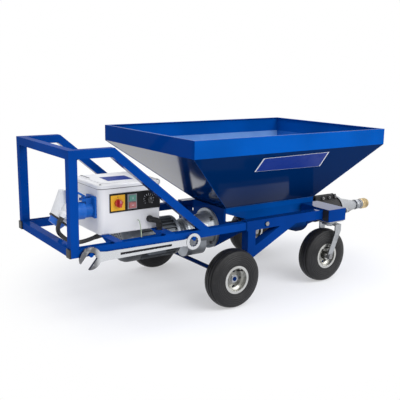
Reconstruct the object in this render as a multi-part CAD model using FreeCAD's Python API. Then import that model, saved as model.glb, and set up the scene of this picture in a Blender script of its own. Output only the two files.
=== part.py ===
# Grout pump on a four-wheeled chassis, built piece by piece.
# Lengths are millimetres. X runs from the motor end to the outlet end, Y to the left, Z up.
# The pieces are drawn from the rear axle: X = 0 on the axle, Y = 0 mid-width, Z = 0 on the floor.
# When a piece is stored, X is shifted so that the origin lies under the middle of the machine's length.
import FreeCAD, Part
import math
import os
from FreeCAD import Vector

os.makedirs("parts", exist_ok=True)

# Driving dimensions

# Wheels and axle
tyre_radius = 135.0
tyre_width = 80.0
bead_radius = 56.0
rim_flange_radius = 64.0
rim_sheet = 3.0
hub_radius = 20.0
axle_radius = 10.0
running_clearance = 0.05
seat_gap = 0.3
rear_wheel_offset = 347.0
collar_width = 5.0
hub_reach = 14.0
tread_groove_width = 4.0
tread_groove_depth = 3.0

# Square tube frame
rail_size = 35.0
rail_wall = 2.5
side_tube_size = 45.0
rail_axis_height = 344.0
frame_half_width = 296.0
side_tube_start = 120.0
rail_insert = 157.0
frame_bolt_radius = 6.0
frame_bolt_setback = 116.0
brace_reach = 372.0
leg_wall = 3.0

# Rear guard cage
cage_length = 739.0
cage_height = 746.0
cage_top_length = 194.0
cage_slope_foot = 86.0
plug_thickness = 6.0

# Front platform and casters
platform_length = 116.0
platform_top = 373.0
platform_height = 62.0
platform_half_width = 341.0
platform_wall = 4.0
platform_inner = 140.0
outrigger_width = 45.0
caster_offset = 290.0
caster_trail = 45.0
caster_plate_thickness = 5.0
caster_plate_width = 100.0
race_radius = 32.0
race_height = 11.0
crown_thickness = 7.0
kingpin_radius = 10.0
fork_arm_thickness = 6.0
fork_gap = 11.0
fork_arm_width = 40.0
fork_foot_width = 30.0
fork_knee = 25.0
caster_bolt_radius = 8.0

# Hopper and trough
hopper_sheet = 3.0
rim_rear = 248.0
rim_front = 891.0
rim_half_width = 404.0
rim_top = 768.0
rim_band = 76.0
rim_lip = 12.0
hopper_foot_height = 397.5
trough_start = 120.0
trough_end = 690.0
platform_lap = 90.0
trough_half_width = 131.5
trough_band = 26.5
trough_radius = 95.0
drive_height = 278.0

# Drive: motor, gearbox, plates
drive_plate_thickness = 12.0
drive_ear_rise = 14.0
drive_ear_drop = 16.0
drive_tab_length = 60.0
drive_tab_thickness = 6.0
gear_flange_radius = 100.0
gear_flange_thickness = 12.0
gear_flange_bolt_circle = 165.0
gear_bolt_radius = 5.0
gear_case_radius = 70.0
gear_case_length = 142.0
gear_nose_length = 30.0
gear_tail_length = 34.0
gear_shaft_reach = 40.0
shaft_end_gap = 2.0
gear_sump_radius = 58.0
gear_sump_drop = 65.0
gear_sump_length = 106.0
spot_face_radius = 11.0
motor_joint_radius = 66.0
motor_joint_thickness = 12.0
motor_drop = 6.0
motor_radius = 93.5
motor_core_radius = 80.0
motor_bell_length = 62.0
motor_frame_length = 190.0
motor_rib_count = 28
motor_rib_thickness = 3.0
cowl_length = 86.0
cowl_sheet = 2.0
grille_hole_radius = 4.5
motor_shaft_radius = 12.0
armature_radius = 46.0
terminal_depth = 40.0
fan_radius = 66.0
fan_blade_count = 8
fan_setback = 24.0
drive_shaft_radius = 14.0
seal_housing_radius = 31.0
seal_housing_lap = 18.0
seal_screw_gap = 21.0
screw_radius = 78.0
screw_pitch = 80.0
flight_start_radius = 18.3
flight_end_gap = 12.0
flight_thickness = 6.0
screw_clearance = 5.0

# Pump and outlet
front_plate_thickness = 8.0
inlet_flange_thickness = 9.0
inlet_cone_length = 119.0
inlet_mouth_radius = 71.0
inlet_wall = 5.0
stator_radius = 56.0
stator_length = 164.0
clamp_wall = 7.0
clamp_inset = 4.0
clamp_fin_height = 28.0
clamp_fin_thickness = 7.0
clamp_gap = 14.0
clamp_bolt_radius = 4.0
clamp_nut_radius = 8.5
clamp_bolt_start = 54.0
clamp_bolt_pitch = 48.0
rotor_radius = 18.0
rotor_eccentricity = 5.0
rotor_pitch = 60.0
tie_rod_offset = 85.0
tie_rod_radius = 7.0
tie_rod_stub = 28.0
tie_nut_radius = 13.0
tie_nut_depth = 13.0
outlet_flange_radius = 68.0
outlet_flange_thickness = 14.0
outlet_ear_radius = 14.0
reducer_length = 146.0
reducer_start_radius = 56.0
reducer_end_radius = 25.0
reducer_neck = 16.0
outlet_wall = 5.0
coupling_length = 39.0
coupling_radius = 27.0
hose_nut_length = 53.0
hose_nut_radius = 30.0
hose_bore_radius = 20.0
hose_nut_knurls = 24

# Control box
box_front = -264.0
box_length = 296.0
box_near = -170.0
box_depth = 270.0
bracket_sheet = 4.5
box_height = 196.0
box_wall = 4.0
box_corner = 22.0
lid_height = 16.0
lid_overhang = 4.0
fascia_length = 242.0
fascia_height = 80.0
fascia_thickness = 3.0
fascia_margin = 7.0
fascia_base = 92.0
fascia_screw_radius = 3.0
fascia_screw_inset = 4.0
lid_screw_radius = 4.5
lid_screw_inset = 12.0
switch_plate_size = 66.0
switch_knob_radius = 16.5
switch_knob_depth = 26.0
button_block_width = 43.0
button_block_height = 63.0
button_block_depth = 5.0
button_width = 33.0
button_height = 25.0
button_proud = 5.0
button_travel = 4.0
speed_knob_radius = 14.0
speed_knob_depth = 20.0
inlet_width = 86.0
inlet_drop = 32.0
inlet_rise = 60.0
inlet_plate_thickness = 8.0
inlet_radius = 33.0
inlet_depth = 52.0
inlet_offset = 66.0
inlet_height = 102.0
inlet_ear_low = 497.0
connector_radius = 37.0
connector_sleeve_length = 63.0
connector_grip = 18.0
hood_offset = 38.0
hood_mouth_radius = 43.0
hood_top_radius = 14.0
hood_mouth_x = -695.0
hood_mouth_z = 434.0
cap_radius = 36.0
cap_thickness = 7.0
cap_pin_radius = 2.5
cap_hinge_reach = 46.0
cap_hinge_rise = 45.0
cap_open_angle = 120.0

# Power lead, conduit and earth wire
lead_diameter = 18.0
gland_radius = 13.0
gland_length = 15.0
conduit_diameter = 24.0
earth_wire_diameter = 4.0

# Brackets under the box
rear_bracket_start = -550.0
rear_bracket_width = 37.0
front_bracket_start = -312.0
front_bracket_width = 46.0
bracket_lap = 20.0
bracket_wall = 3.0
bracket_drop = 31.0

# Wrench
wrench_thickness = 12.0
wrench_jaw_centre = -663.0
wrench_ring_centre = -180.0
wrench_height = 319.0
wrench_jaw_radius = 46.0
wrench_opening = 46.0
wrench_jaw_turn = -50.0
wrench_ring_radius = 36.0
wrench_ring_bore = 24.0
wrench_handle_width = 37.0
peg_radius = 9.0
peg_length = 18.0

# Values worked out from the driving dimensions
side_tube_wall = (side_tube_size - rail_size) / 2 - seat_gap
tube_centre_y = frame_half_width - side_tube_size / 2
rail_top = rail_axis_height + rail_size / 2
rail_bottom = rail_axis_height - rail_size / 2
rail_outer_y = tube_centre_y + rail_size / 2
rail_inner_y = tube_centre_y - rail_size / 2
side_tube_top = rail_axis_height + side_tube_size / 2
side_tube_bottom = rail_axis_height - side_tube_size / 2
side_tube_inner_y = tube_centre_y - side_tube_size / 2
platform_start = trough_end - platform_lap
platform_end = platform_start + platform_length
platform_bottom = platform_top - platform_height
caster_x = platform_start + platform_length / 2
caster_axle_x = caster_x - caster_trail
trough_band_bottom = hopper_foot_height - trough_band
floor_slope = (trough_band_bottom - (drive_height - trough_radius)) / (trough_end - trough_start)
floor_cos = math.cos(math.atan(floor_slope))
floor_meets_drive = trough_start + (trough_band_bottom - drive_height) / floor_slope
screw_start = floor_meets_drive + (flight_start_radius + hopper_sheet + screw_clearance) / floor_cos / floor_slope
screw_length = trough_end - flight_end_gap - screw_start
seal_housing_start = floor_meets_drive - seal_housing_radius / floor_slope - seal_housing_lap
seal_housing_end = screw_start - seal_screw_gap
drive_plate_rear = trough_start - drive_plate_thickness
gear_flange_rear = drive_plate_rear - gear_flange_thickness
motor_joint_x = gear_flange_rear - gear_case_length
motor_bell_rear = motor_joint_x - motor_joint_thickness - motor_bell_length
motor_frame_rear = motor_bell_rear - motor_frame_length
cowl_rear = motor_frame_rear - cowl_length
motor_height = drive_height - motor_drop
front_plate_end = trough_end + front_plate_thickness
cone_start = front_plate_end + inlet_flange_thickness
stator_start = cone_start + inlet_cone_length
stator_end = stator_start + stator_length
clamp_radius = stator_radius + clamp_wall
reducer_start = stator_end + outlet_flange_thickness
reducer_end = reducer_start + reducer_length
coupling_start = reducer_end + reducer_neck
hose_nut_start = coupling_start + coupling_length
machine_front = hose_nut_start + hose_nut_length
machine_rear = -cage_length - plug_thickness
origin_x = (machine_front + machine_rear) / 2
box_bottom = rail_top + bracket_sheet
box_rear = box_front - box_length
box_far = box_near + box_depth
box_top = box_bottom + box_height
fascia_near = box_near - fascia_thickness
fascia_front = box_front - fascia_margin
fascia_low = box_bottom + fascia_base
fascia_mid_z = fascia_low + fascia_height / 2
inlet_y = box_near + inlet_offset
inlet_z = box_bottom + inlet_height
inlet_plate_rear = box_rear - inlet_plate_thickness
inlet_mouth_x = inlet_plate_rear - inlet_depth


# Drawing helpers

def box(x0, x1, y0, y1, z0, z1):
    return Part.makeBox(x1 - x0, y1 - y0, z1 - z0, Vector(x0, y0, z0))


def rod_x(x0, x1, radius, y=0.0, z=0.0):
    return Part.makeCylinder(radius, x1 - x0, Vector(x0, y, z), Vector(1, 0, 0))


def rod_y(y0, y1, radius, x=0.0, z=0.0):
    return Part.makeCylinder(radius, y1 - y0, Vector(x, y0, z), Vector(0, 1, 0))


def rod_z(z0, z1, radius, x=0.0, y=0.0):
    return Part.makeCylinder(radius, z1 - z0, Vector(x, y, z0), Vector(0, 0, 1))


def plate_xz(points, y0, y1):
    wire = Part.makePolygon([Vector(x, y0, z) for x, z in points + points[:1]])
    return Part.Face(wire).extrude(Vector(0, y1 - y0, 0))


def plate_yz(points, x0, x1):
    wire = Part.makePolygon([Vector(x0, y, z) for y, z in points + points[:1]])
    return Part.Face(wire).extrude(Vector(x1 - x0, 0, 0))


def plate_xy(points, z0, z1):
    wire = Part.makePolygon([Vector(x, y, z0) for x, y in points + points[:1]])
    return Part.Face(wire).extrude(Vector(0, 0, z1 - z0))


def turned_x(profile, y=0.0, z=0.0):
    """Solid turned about an axis along X, from a closed outline of (x, radius) points."""
    wire = Part.makePolygon([Vector(x, y, z + r) for x, r in profile + profile[:1]])
    return Part.Face(wire).revolve(Vector(0, y, z), Vector(1, 0, 0), 360)


def turned_y(profile, x=0.0, z=0.0):
    """Solid turned about an axis along Y, from a closed outline of (y, radius) points."""
    wire = Part.makePolygon([Vector(x, y, z + r) for y, r in profile + profile[:1]])
    return Part.Face(wire).revolve(Vector(x, 0, z), Vector(0, 1, 0), 360)


def frustum(low, z_low, high, z_high):
    """Flat-sided solid between two level rectangles, each (x0, x1, y0, y1)."""
    def corners(rect, z):
        x0, x1, y0, y1 = rect
        return [Vector(x0, y0, z), Vector(x1, y0, z), Vector(x1, y1, z), Vector(x0, y1, z)]
    a = corners(low, z_low)
    b = corners(high, z_high)
    rings = [a[::-1], b]
    for i in range(4):
        j = (i + 1) % 4
        rings.append([a[i], a[j], b[j], b[i]])
    faces = [Part.Face(Part.makePolygon(ring + ring[:1])) for ring in rings]
    return Part.Solid(Part.Shell(faces))


def rounded_box(x0, x1, y0, y1, z0, z1, radius):
    solid = box(x0, x1, y0, y1, z0, z1)
    upright = [e for e in solid.Edges if abs(e.BoundBox.ZLength - (z1 - z0)) < 1e-6]
    return solid.makeFillet(radius, upright)


def mirrored(shape):
    return shape.mirror(Vector(0, 0, 0), Vector(0, 1, 0))


def fused(shapes):
    first = shapes[0]
    return first.fuse(shapes[1:]).removeSplitter() if len(shapes) > 1 else first


def around(shape, centre, axis, count):
    """Copies of a shape, evenly spaced around an axis."""
    copies = []
    for i in range(count):
        copy = shape.copy()
        copy.rotate(centre, axis, 360.0 * i / count)
        copies.append(copy)
    return copies


def hexagon(radius):
    return [(radius * math.cos(math.radians(60 * i)), radius * math.sin(math.radians(60 * i))) for i in range(6)]


def hex_x(x0, x1, radius, y, z):
    return plate_yz([(y + a, z + b) for a, b in hexagon(radius)], x0, x1)


def hex_y(y0, y1, radius, x, z):
    return plate_xz([(x + a, z + b) for a, b in hexagon(radius)], y0, y1)


def arc_path(points):
    """Straight runs joined by tangent arcs, each as large as its two runs allow."""
    edges = []
    radii = []
    start = points[0]
    for before, corner, after in zip(points, points[1:], points[2:]):
        a = before - corner
        b = after - corner
        half_turn = (math.pi - a.getAngle(b)) / 2
        radius = 0.45 * min(a.Length, b.Length) / math.tan(half_turn)
        reach = radius * math.tan(half_turn)
        a.normalize()
        b.normalize()
        first = corner + a * reach
        last = corner + b * reach
        inward = (a + b).normalize()
        middle = corner + inward * (radius / math.cos(half_turn) - radius)
        edges.append(Part.LineSegment(start, first).toShape())
        edges.append(Part.Arc(first, middle, last).toShape())
        radii.append(round(radius, 1))
        start = last
    edges.append(Part.LineSegment(start, points[-1]).toShape())
    return Part.Wire(edges), radii


def cord(name, points, diameter):
    path, radii = arc_path(points)
    start = points[0]
    ring = Part.Circle(start, points[1] - start, diameter / 2).toShape()
    tube = path.makePipeShell([Part.Wire(ring)], True, False)
    expected = math.pi * diameter * diameter / 4 * path.Length
    print(name, "length", round(path.Length, 1), "radii", radii, "volume ratio", round(tube.Volume / expected, 4))
    return tube


def save(name, *shapes):
    placed = []
    for shape in shapes:
        moved = shape.copy()
        moved.translate(Vector(-origin_x, 0, 0))
        placed.extend(moved.Solids)
    whole = placed[0] if len(placed) == 1 else Part.makeCompound(placed)
    whole.exportStep("parts/" + name + ".step")


# Frame: side tubes, axle legs, drive plate

def side_tube():
    y0 = side_tube_inner_y
    outer = box(side_tube_start, platform_start, y0, frame_half_width, side_tube_bottom, side_tube_top)
    bore = box(side_tube_start, platform_start, y0 + side_tube_wall, frame_half_width - side_tube_wall,
               side_tube_bottom + side_tube_wall, side_tube_top - side_tube_wall)
    return outer.cut(bore).cut(frame_bolt_hole())


def frame_bolt_hole():
    x = side_tube_start + frame_bolt_setback
    return rod_y(side_tube_inner_y, frame_half_width, frame_bolt_radius, x, rail_axis_height)


def hollow_bar(points, direction_ends, wall):
    """Square tube across the frame's thickness; direction_ends is the same bar's hollow, open at its ends."""
    outer = plate_xz(points, side_tube_inner_y, frame_half_width)
    hollow = plate_xz(direction_ends, side_tube_inner_y + wall, frame_half_width - wall)
    return outer.cut(hollow)


def axle_leg():
    """Brace from the axle up to the side tube, with an upright post on it and a boss for the axle."""
    rise = side_tube_bottom - tyre_radius
    angle = math.atan2(rise, brace_reach)
    run = Vector(math.cos(angle), 0, math.sin(angle))
    side = Vector(-math.sin(angle), 0, math.cos(angle))
    foot = Vector(0, 0, tyre_radius)
    half = side_tube_size / 2

    def brace_outline(offset, overrun):
        low = foot - run * (half + overrun)
        high = foot + run * (brace_reach + half) * 2
        corners = [low + side * offset, high + side * offset, high - side * offset, low - side * offset]
        return [(c.x, c.z) for c in corners]

    def upper_edge(x):
        start = foot + side * half
        return start.z + (x - start.x) * math.tan(angle)

    below_tube = box(-brace_reach, 3 * brace_reach, 0, 2 * frame_half_width, -tyre_radius, side_tube_bottom)
    brace = hollow_bar(brace_outline(half, 0), brace_outline(half - leg_wall, half), leg_wall).common(below_tube)
    post_x0 = side_tube_start + 7.0
    post_x1 = post_x0 + side_tube_size
    post = [(post_x0, upper_edge(post_x0)), (post_x1, upper_edge(post_x1)),
            (post_x1, side_tube_bottom), (post_x0, side_tube_bottom)]
    inner = [(post_x0 + leg_wall, upper_edge(post_x0 + leg_wall)), (post_x1 - leg_wall, upper_edge(post_x1 - leg_wall)),
             (post_x1 - leg_wall, side_tube_bottom), (post_x0 + leg_wall, side_tube_bottom)]
    upright = hollow_bar(post, inner, leg_wall)
    boss = rod_y(side_tube_inner_y - leg_wall, frame_half_width + leg_wall, 2 * axle_radius, 0, tyre_radius)
    bore = rod_y(0, 2 * frame_half_width, axle_radius, 0, tyre_radius)
    return fused([brace, upright, boss]).cut(bore)


def drive_plate():
    """Upright plate behind the trough: carries the gearbox, with ears and bent tabs to the side tubes."""
    ear_top = side_tube_bottom + drive_ear_rise
    ear_low = side_tube_bottom - drive_ear_drop
    foot = drive_height - 0.88 * gear_flange_radius
    half = [(trough_half_width, hopper_foot_height), (trough_half_width, ear_top), (side_tube_inner_y, ear_top),
            (side_tube_inner_y, ear_low), (0.48 * gear_flange_radius, foot)]
    outline = half + [(-y, z) for y, z in half[::-1]]
    plate = plate_yz(outline, drive_plate_rear, trough_start)
    tabs = []
    for side in (-1, 1):
        y_in = side * (side_tube_inner_y - drive_tab_thickness)
        y_out = side * side_tube_inner_y
        tabs.append(box(drive_plate_rear, side_tube_start + drive_tab_length, min(y_in, y_out), max(y_in, y_out),
                        ear_low, ear_top))
    body = fused([plate] + tabs)
    body = body.cut(rod_x(drive_plate_rear, trough_start, drive_shaft_radius + 10.0, 0, drive_height))
    for bolt in flange_bolts(gear_bolt_radius, drive_plate_rear, trough_start):
        body = body.cut(bolt)
    return body


def flange_bolts(radius, x0, x1):
    first = rod_x(x0, x1, radius, gear_flange_bolt_circle / 2, drive_height)
    centre = Vector(0, 0, drive_height)
    first.rotate(centre, Vector(1, 0, 0), 45)
    return around(first, centre, Vector(1, 0, 0), 4)


# Rear guard cage

def cage_side():
    """Post, top rail, slanted rail and bottom rail of one side, one welded hollow frame."""
    def outline(inset):
        rear = -cage_length + inset
        top = cage_height - inset
        slope = math.atan2(cage_height - rail_top, cage_length - cage_top_length - cage_slope_foot)
        shift = inset * math.tan(slope / 2)
        bend = -cage_length + cage_top_length - shift
        foot = bend + (top - rail_top) / math.tan(slope)
        return rear, top, bend, foot

    def ring(inset, y0, y1, rail_end):
        rear, top, bend, foot = outline(inset)
        rail_high = rail_top - inset
        foot_low = bend + (top - rail_high) / math.tan(slope_angle)
        points = [(rear, rail_bottom + inset), (rear, top), (bend, top), (foot_low, rail_high),
                  (rail_end, rail_high), (rail_end, rail_bottom + inset)]
        return plate_xz(points, y0, y1)

    def window(inset, y0, y1):
        rear, top, bend, foot = outline(inset)
        low = rail_top - (inset - rail_size)
        points = [(rear, low), (rear, top), (bend, top), (bend + (top - low) / math.tan(slope_angle), low)]
        return plate_xz(points, y0, y1)

    slope_angle = math.atan2(cage_height - rail_top, cage_length - cage_top_length - cage_slope_foot)
    rail_end = side_tube_start + rail_insert
    y0 = rail_inner_y
    y1 = rail_outer_y
    solid = ring(0, y0, y1, rail_end).cut(window(rail_size, y0, y1))
    hollow = ring(rail_wall, y0 + rail_wall, y1 - rail_wall, rail_end)
    hollow = hollow.cut(window(rail_size - rail_wall, y0 + rail_wall, y1 - rail_wall))
    return solid.cut(hollow).cut(frame_bolt_hole())


def cage_cross_tube(z0):
    x0 = -cage_length
    outer = box(x0, x0 + rail_size, -rail_inner_y, rail_inner_y, z0, z0 + rail_size)
    inner = box(x0 + rail_wall, x0 + rail_size - rail_wall, -rail_inner_y, rail_inner_y,
                z0 + rail_wall, z0 + rail_size - rail_wall)
    return outer.cut(inner)


def cage_plug(side):
    y0 = side * tube_centre_y - rail_size / 2
    x1 = -cage_length
    return box(x1 - plug_thickness, x1, y0, y0 + rail_size, rail_bottom, rail_top)


# Front platform

def front_platform():
    """Two boxes that carry the casters, tied by an upright plate round the pump's inlet."""
    def carrier():
        x0, x1 = platform_start, platform_end
        outer = box(x0, x1, platform_inner, platform_half_width, platform_bottom, platform_top)
        w = platform_wall
        middle = frame_half_width
        inside = box(x0, x1 - w, middle + w, platform_half_width - w, platform_bottom + w, platform_top - w)
        centre = box(x0 + w, x1 - w, platform_inner, middle, platform_bottom + w, platform_top - w)
        return outer.cut(inside).cut(centre)

    def round_edge(radius):
        angles = [math.radians(a) for a in (30, 50, 70, 90)]
        return [(radius * math.cos(a), drive_height - radius * math.sin(a)) for a in angles]

    left = carrier()
    edge = platform_inner + 2.0
    half = [(edge, platform_top - platform_wall), (edge, platform_bottom), (trough_radius + 12.0, platform_bottom)]
    half = half + round_edge(trough_radius)
    outline = half + [(-y, z) for y, z in half[-2::-1]]
    plate = plate_yz(outline, trough_end, front_plate_end)
    plate = plate.cut(rod_x(trough_end, front_plate_end, inlet_mouth_radius, 0, drive_height))
    return fused([left, mirrored(left), plate])


def platform_plug(side):
    y0 = frame_half_width + platform_wall
    y1 = platform_half_width - platform_wall
    plug = box(platform_start - plug_thickness + platform_wall, platform_start + 3 * platform_wall, y0, y1,
               platform_bottom + platform_wall, platform_top - platform_wall)
    return plug if side > 0 else mirrored(plug)


# Hopper and trough

def hopper():
    """Flat-sided funnel of folded sheet with an upright rim band and an inward lip."""
    rim = (-rim_rear, rim_front, -rim_half_width, rim_half_width)
    foot = (trough_start, trough_end, -trough_half_width, trough_half_width)
    t = hopper_sheet
    band_low = rim_top - rim_band

    def inset(rect, by):
        return (rect[0] + by, rect[1] - by, rect[2] + by, rect[3] - by)

    outer = frustum(foot, hopper_foot_height, rim, band_low)
    inner = frustum(inset(foot, t), hopper_foot_height, inset(rim, t), band_low)
    walls = outer.cut(inner)
    a = inset(rim, t)
    band = box(*rim, band_low, rim_top).cut(box(*a, band_low, rim_top))
    opening = inset(rim, rim_lip)
    lip = box(*rim, rim_top - t, rim_top).cut(box(*opening, rim_top - t, rim_top))
    return fused([walls, band, lip])


def trough_form(inset):
    """Trough between its end walls: slanted sides over a round bottom, cut by the sloping floor."""
    half = trough_half_width - inset
    radius = trough_radius - inset
    rise = trough_band_bottom - drive_height
    lean = math.atan2(rise, half) - math.acos(radius / math.hypot(rise, half))
    touch = (radius * math.cos(lean), drive_height + radius * math.sin(lean))
    x0 = trough_start + inset
    x1 = trough_end - inset

    def point(y, z):
        return Vector(x0, y, z)

    sides = [point(-touch[0], touch[1]), point(-half, trough_band_bottom), point(-half, hopper_foot_height),
             point(half, hopper_foot_height), point(half, trough_band_bottom), point(touch[0], touch[1])]
    bottom = Part.Arc(sides[-1], point(0, drive_height - radius), sides[0]).toShape()
    edges = [Part.LineSegment(a, b).toShape() for a, b in zip(sides, sides[1:])] + [bottom]
    prism = Part.Face(Part.Wire(edges)).extrude(Vector(x1 - x0, 0, 0))
    lift = inset * math.hypot(1, floor_slope)

    def floor_height(x):
        return trough_band_bottom - (x - trough_start) * floor_slope + lift

    keep = plate_xz([(x0, floor_height(x0)), (x1, floor_height(x1)), (x1, hopper_foot_height),
                     (x0, hopper_foot_height)], -2 * half, 2 * half)
    return prism.common(keep)


def trough():
    shell = trough_form(0).cut(trough_form(hopper_sheet))
    housing = rod_x(seal_housing_start, seal_housing_end, seal_housing_radius, 0, drive_height)
    suction = rod_x(trough_end - 2 * hopper_sheet, trough_end, inlet_mouth_radius, 0, drive_height)
    return shell.cut(housing).cut(suction)


# Wheels

def tyre():
    """Pneumatic tyre about the Y axis at the origin: rounded walls, ribbed tread, open between its beads."""
    half = tyre_width / 2
    bead = half - 7.0
    wall = 8.0
    shoulder = half - 9.0
    tread = tyre_radius - 7.0
    mid = (bead_radius + tread) / 2

    def p(y, r):
        return Vector(0, y, r)

    outer = [p(-bead, bead_radius), p(-half, mid), p(-shoulder, tread), p(0, tyre_radius),
             p(shoulder, tread), p(half, mid), p(bead, bead_radius)]
    inner = [p(bead - wall, bead_radius), p(half - wall, mid), p(shoulder - wall, tread - wall),
             p(0, tyre_radius - wall - 1.0), p(wall - shoulder, tread - wall), p(wall - half, mid),
             p(wall - bead, bead_radius)]
    edges = []
    for line in (outer, inner):
        for i in (0, 2, 4):
            edges.append(Part.Arc(line[i], line[i + 1], line[i + 2]).toShape())
    edges.append(Part.LineSegment(outer[-1], inner[0]).toShape())
    edges.append(Part.LineSegment(inner[-1], outer[0]).toShape())
    body = Part.Face(Part.Wire(Part.sortEdges(edges)[0])).revolve(Vector(0, 0, 0), Vector(0, 1, 0), 360)
    for y in (-22.0, -7.5, 7.5, 22.0):
        low = y - tread_groove_width / 2
        high = y + tread_groove_width / 2
        bottom = tyre_radius - tread_groove_depth - y * y / 200.0
        ring = [(low, bottom), (high, bottom), (high, tyre_radius + 1), (low, tyre_radius + 1)]
        body = body.cut(turned_y(ring))
    return body.cut(rim_barrel())


def rim_barrel():
    seat = tyre_width / 2 - rim_sheet - 2.0
    lip = seat + rim_sheet
    well = bead_radius - rim_sheet
    return turned_y([(-lip, rim_flange_radius), (-seat, rim_flange_radius), (-seat, bead_radius),
                     (seat, bead_radius), (seat, rim_flange_radius), (lip, rim_flange_radius),
                     (lip, well), (-lip, well)])


def rim(hub_inner, hub_outer, bore, windows):
    """Pressed wheel rim about the Y axis at the origin; hub_outer is the length of hub on the +Y side."""
    well = bead_radius - rim_sheet
    disc = turned_y([(4.0, well), (8.0, well), (8.0, well - 8.0), (16.0, hub_radius), (12.0, hub_radius),
                     (4.0, well - 10.0)])
    hub = turned_y([(-hub_inner, bore), (hub_outer, bore), (hub_outer, hub_radius), (-hub_inner, hub_radius)])
    body = fused([rim_barrel(), disc, hub])
    hole = rod_y(-2.0, 20.0, 7.0, 0, (well + hub_radius) / 2)
    for copy in around(hole, Vector(0, 0, 0), Vector(0, 1, 0), windows):
        body = body.cut(copy)
    return body


def placed(shape, x, y, z, side):
    """A wheel part drawn with its outer face towards +Y, put on the left (+1) or the right (-1)."""
    copy = shape.copy() if side > 0 else mirrored(shape)
    copy.translate(Vector(x, y, z))
    return copy


def axle_end_gap():
    return rear_wheel_offset + hub_reach + seat_gap


def rear_axle():
    reach = axle_end_gap() + collar_width + 2.0
    return rod_y(-reach, reach, axle_radius, 0, tyre_radius)


def axle_collars():
    rings = []
    outer0 = axle_end_gap()
    inner0 = frame_half_width + leg_wall
    inner1 = rear_wheel_offset - tyre_width / 2 - seat_gap
    for y0, y1 in ((outer0, outer0 + collar_width), (inner0, inner1)):
        ring = rod_y(y0, y1, axle_radius * 1.7, 0, tyre_radius).cut(rod_y(y0, y1, axle_radius, 0, tyre_radius))
        rings.extend([ring, mirrored(ring)])
    return rings


# Casters

def caster_plate():
    """Top plate with the fixed race and the kingpin, about Z at the origin, top face at Z = 0."""
    half_x = platform_length / 2 - 3.0
    half_y = caster_plate_width / 2
    plate = rounded_box(-half_x, half_x, -half_y, half_y, -caster_plate_thickness, 0, 10.0)
    low = -caster_plate_thickness - race_height
    race = rod_z(low, -caster_plate_thickness, race_radius)
    pin = rod_z(low - crown_thickness - 9.0, low, kingpin_radius)
    head = rod_z(low - crown_thickness - 9.0, low - crown_thickness - 2 * seat_gap, kingpin_radius * 1.6)
    return fused([plate, race, pin, head])


def caster_fork():
    """Crown and two cranked arms; the kingpin is at X = Y = 0 and the crown's top just under the race."""
    top = -caster_plate_thickness - race_height - seat_gap
    low = top - crown_thickness + seat_gap
    inner = tyre_width / 2 + fork_gap
    outer = inner + fork_arm_thickness
    drop = tyre_radius - platform_bottom
    crown = rod_z(low, top, race_radius + 6.0)
    bridge = rounded_box(fork_knee - fork_arm_width, fork_knee, -outer, outer, low, top, 4.0)
    half = fork_foot_width / 2
    back = fork_knee - fork_arm_width
    knee_z = low - 26.0
    arm = [(back, top), (fork_knee, top), (fork_knee, knee_z), (half * 0.9 - caster_trail, drop - half * 0.4),
           (-half * 0.9 - caster_trail, drop + half * 0.4), (back, knee_z - 10.0)]
    arms = []
    for y0, y1 in ((inner, outer), (-outer, -inner)):
        blade = plate_xz(arm, y0, y1)
        eye = rod_y(y0, y1, half, -caster_trail, drop)
        arms.extend([blade, eye])
    body = fused([crown, bridge] + arms)
    body = body.cut(rod_z(low - 1, top + 1, kingpin_radius + running_clearance))
    bolt_hole = rod_y(-outer, outer, caster_bolt_radius, -caster_trail, drop)
    return body.cut(bolt_hole)


def caster_bolt():
    drop = tyre_radius - platform_bottom
    outer = tyre_width / 2 + fork_gap + fork_arm_thickness
    shank = rod_y(-outer, outer, caster_bolt_radius, -caster_trail, drop)
    head = hex_y(outer, outer + 8.0, 13.0, -caster_trail, drop)
    nut = hex_y(-outer - 8.0, -outer, 13.0, -caster_trail, drop)
    sleeve_in = tyre_width / 2 + seat_gap
    gap_out = tyre_width / 2 + fork_gap
    sleeves = []
    for y0, y1 in ((sleeve_in, gap_out), (-gap_out, -sleeve_in)):
        sleeves.append(rod_y(y0, y1, caster_bolt_radius + 4.0, -caster_trail, drop))
    return fused([shank, head, nut] + sleeves)


# Motor and gearbox

def gearbox_case():
    x0 = motor_joint_x
    x1 = gear_flange_rear
    case = turned_x([(x0, 0.0), (x0, motor_joint_radius), (x0 + 10.0, motor_joint_radius),
                     (x0 + 16.0, gear_case_radius - 8.0), (x0 + gear_nose_length, gear_case_radius),
                     (x1 - gear_tail_length, gear_case_radius + 4.0), (x1 - 8.0, gear_flange_radius - 14.0),
                     (x1, gear_flange_radius - 14.0), (x1, gear_flange_radius),
                     (drive_plate_rear, gear_flange_radius), (drive_plate_rear, 0.0)], 0, drive_height)
    sump = rod_x(x0, x0 + gear_sump_length, gear_sump_radius, 0, drive_height - gear_sump_drop)
    waist = box(x0, x0 + gear_sump_length, -gear_sump_radius, gear_sump_radius,
                drive_height - gear_sump_drop, drive_height)
    body = fused([case, sump, waist])
    reach = gear_shaft_reach
    body = body.cut(rod_x(x1 - reach, drive_plate_rear, drive_shaft_radius + running_clearance, 0, drive_height))
    body = body.cut(rod_x(x0, x0 + reach, motor_shaft_radius + running_clearance, 0, motor_height))
    for bolt in flange_bolts(gear_bolt_radius, x1, drive_plate_rear):
        body = body.cut(bolt)
    for face in flange_bolts(spot_face_radius, x1 - 20.0, x1):
        body = body.cut(face)
    return body


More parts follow.
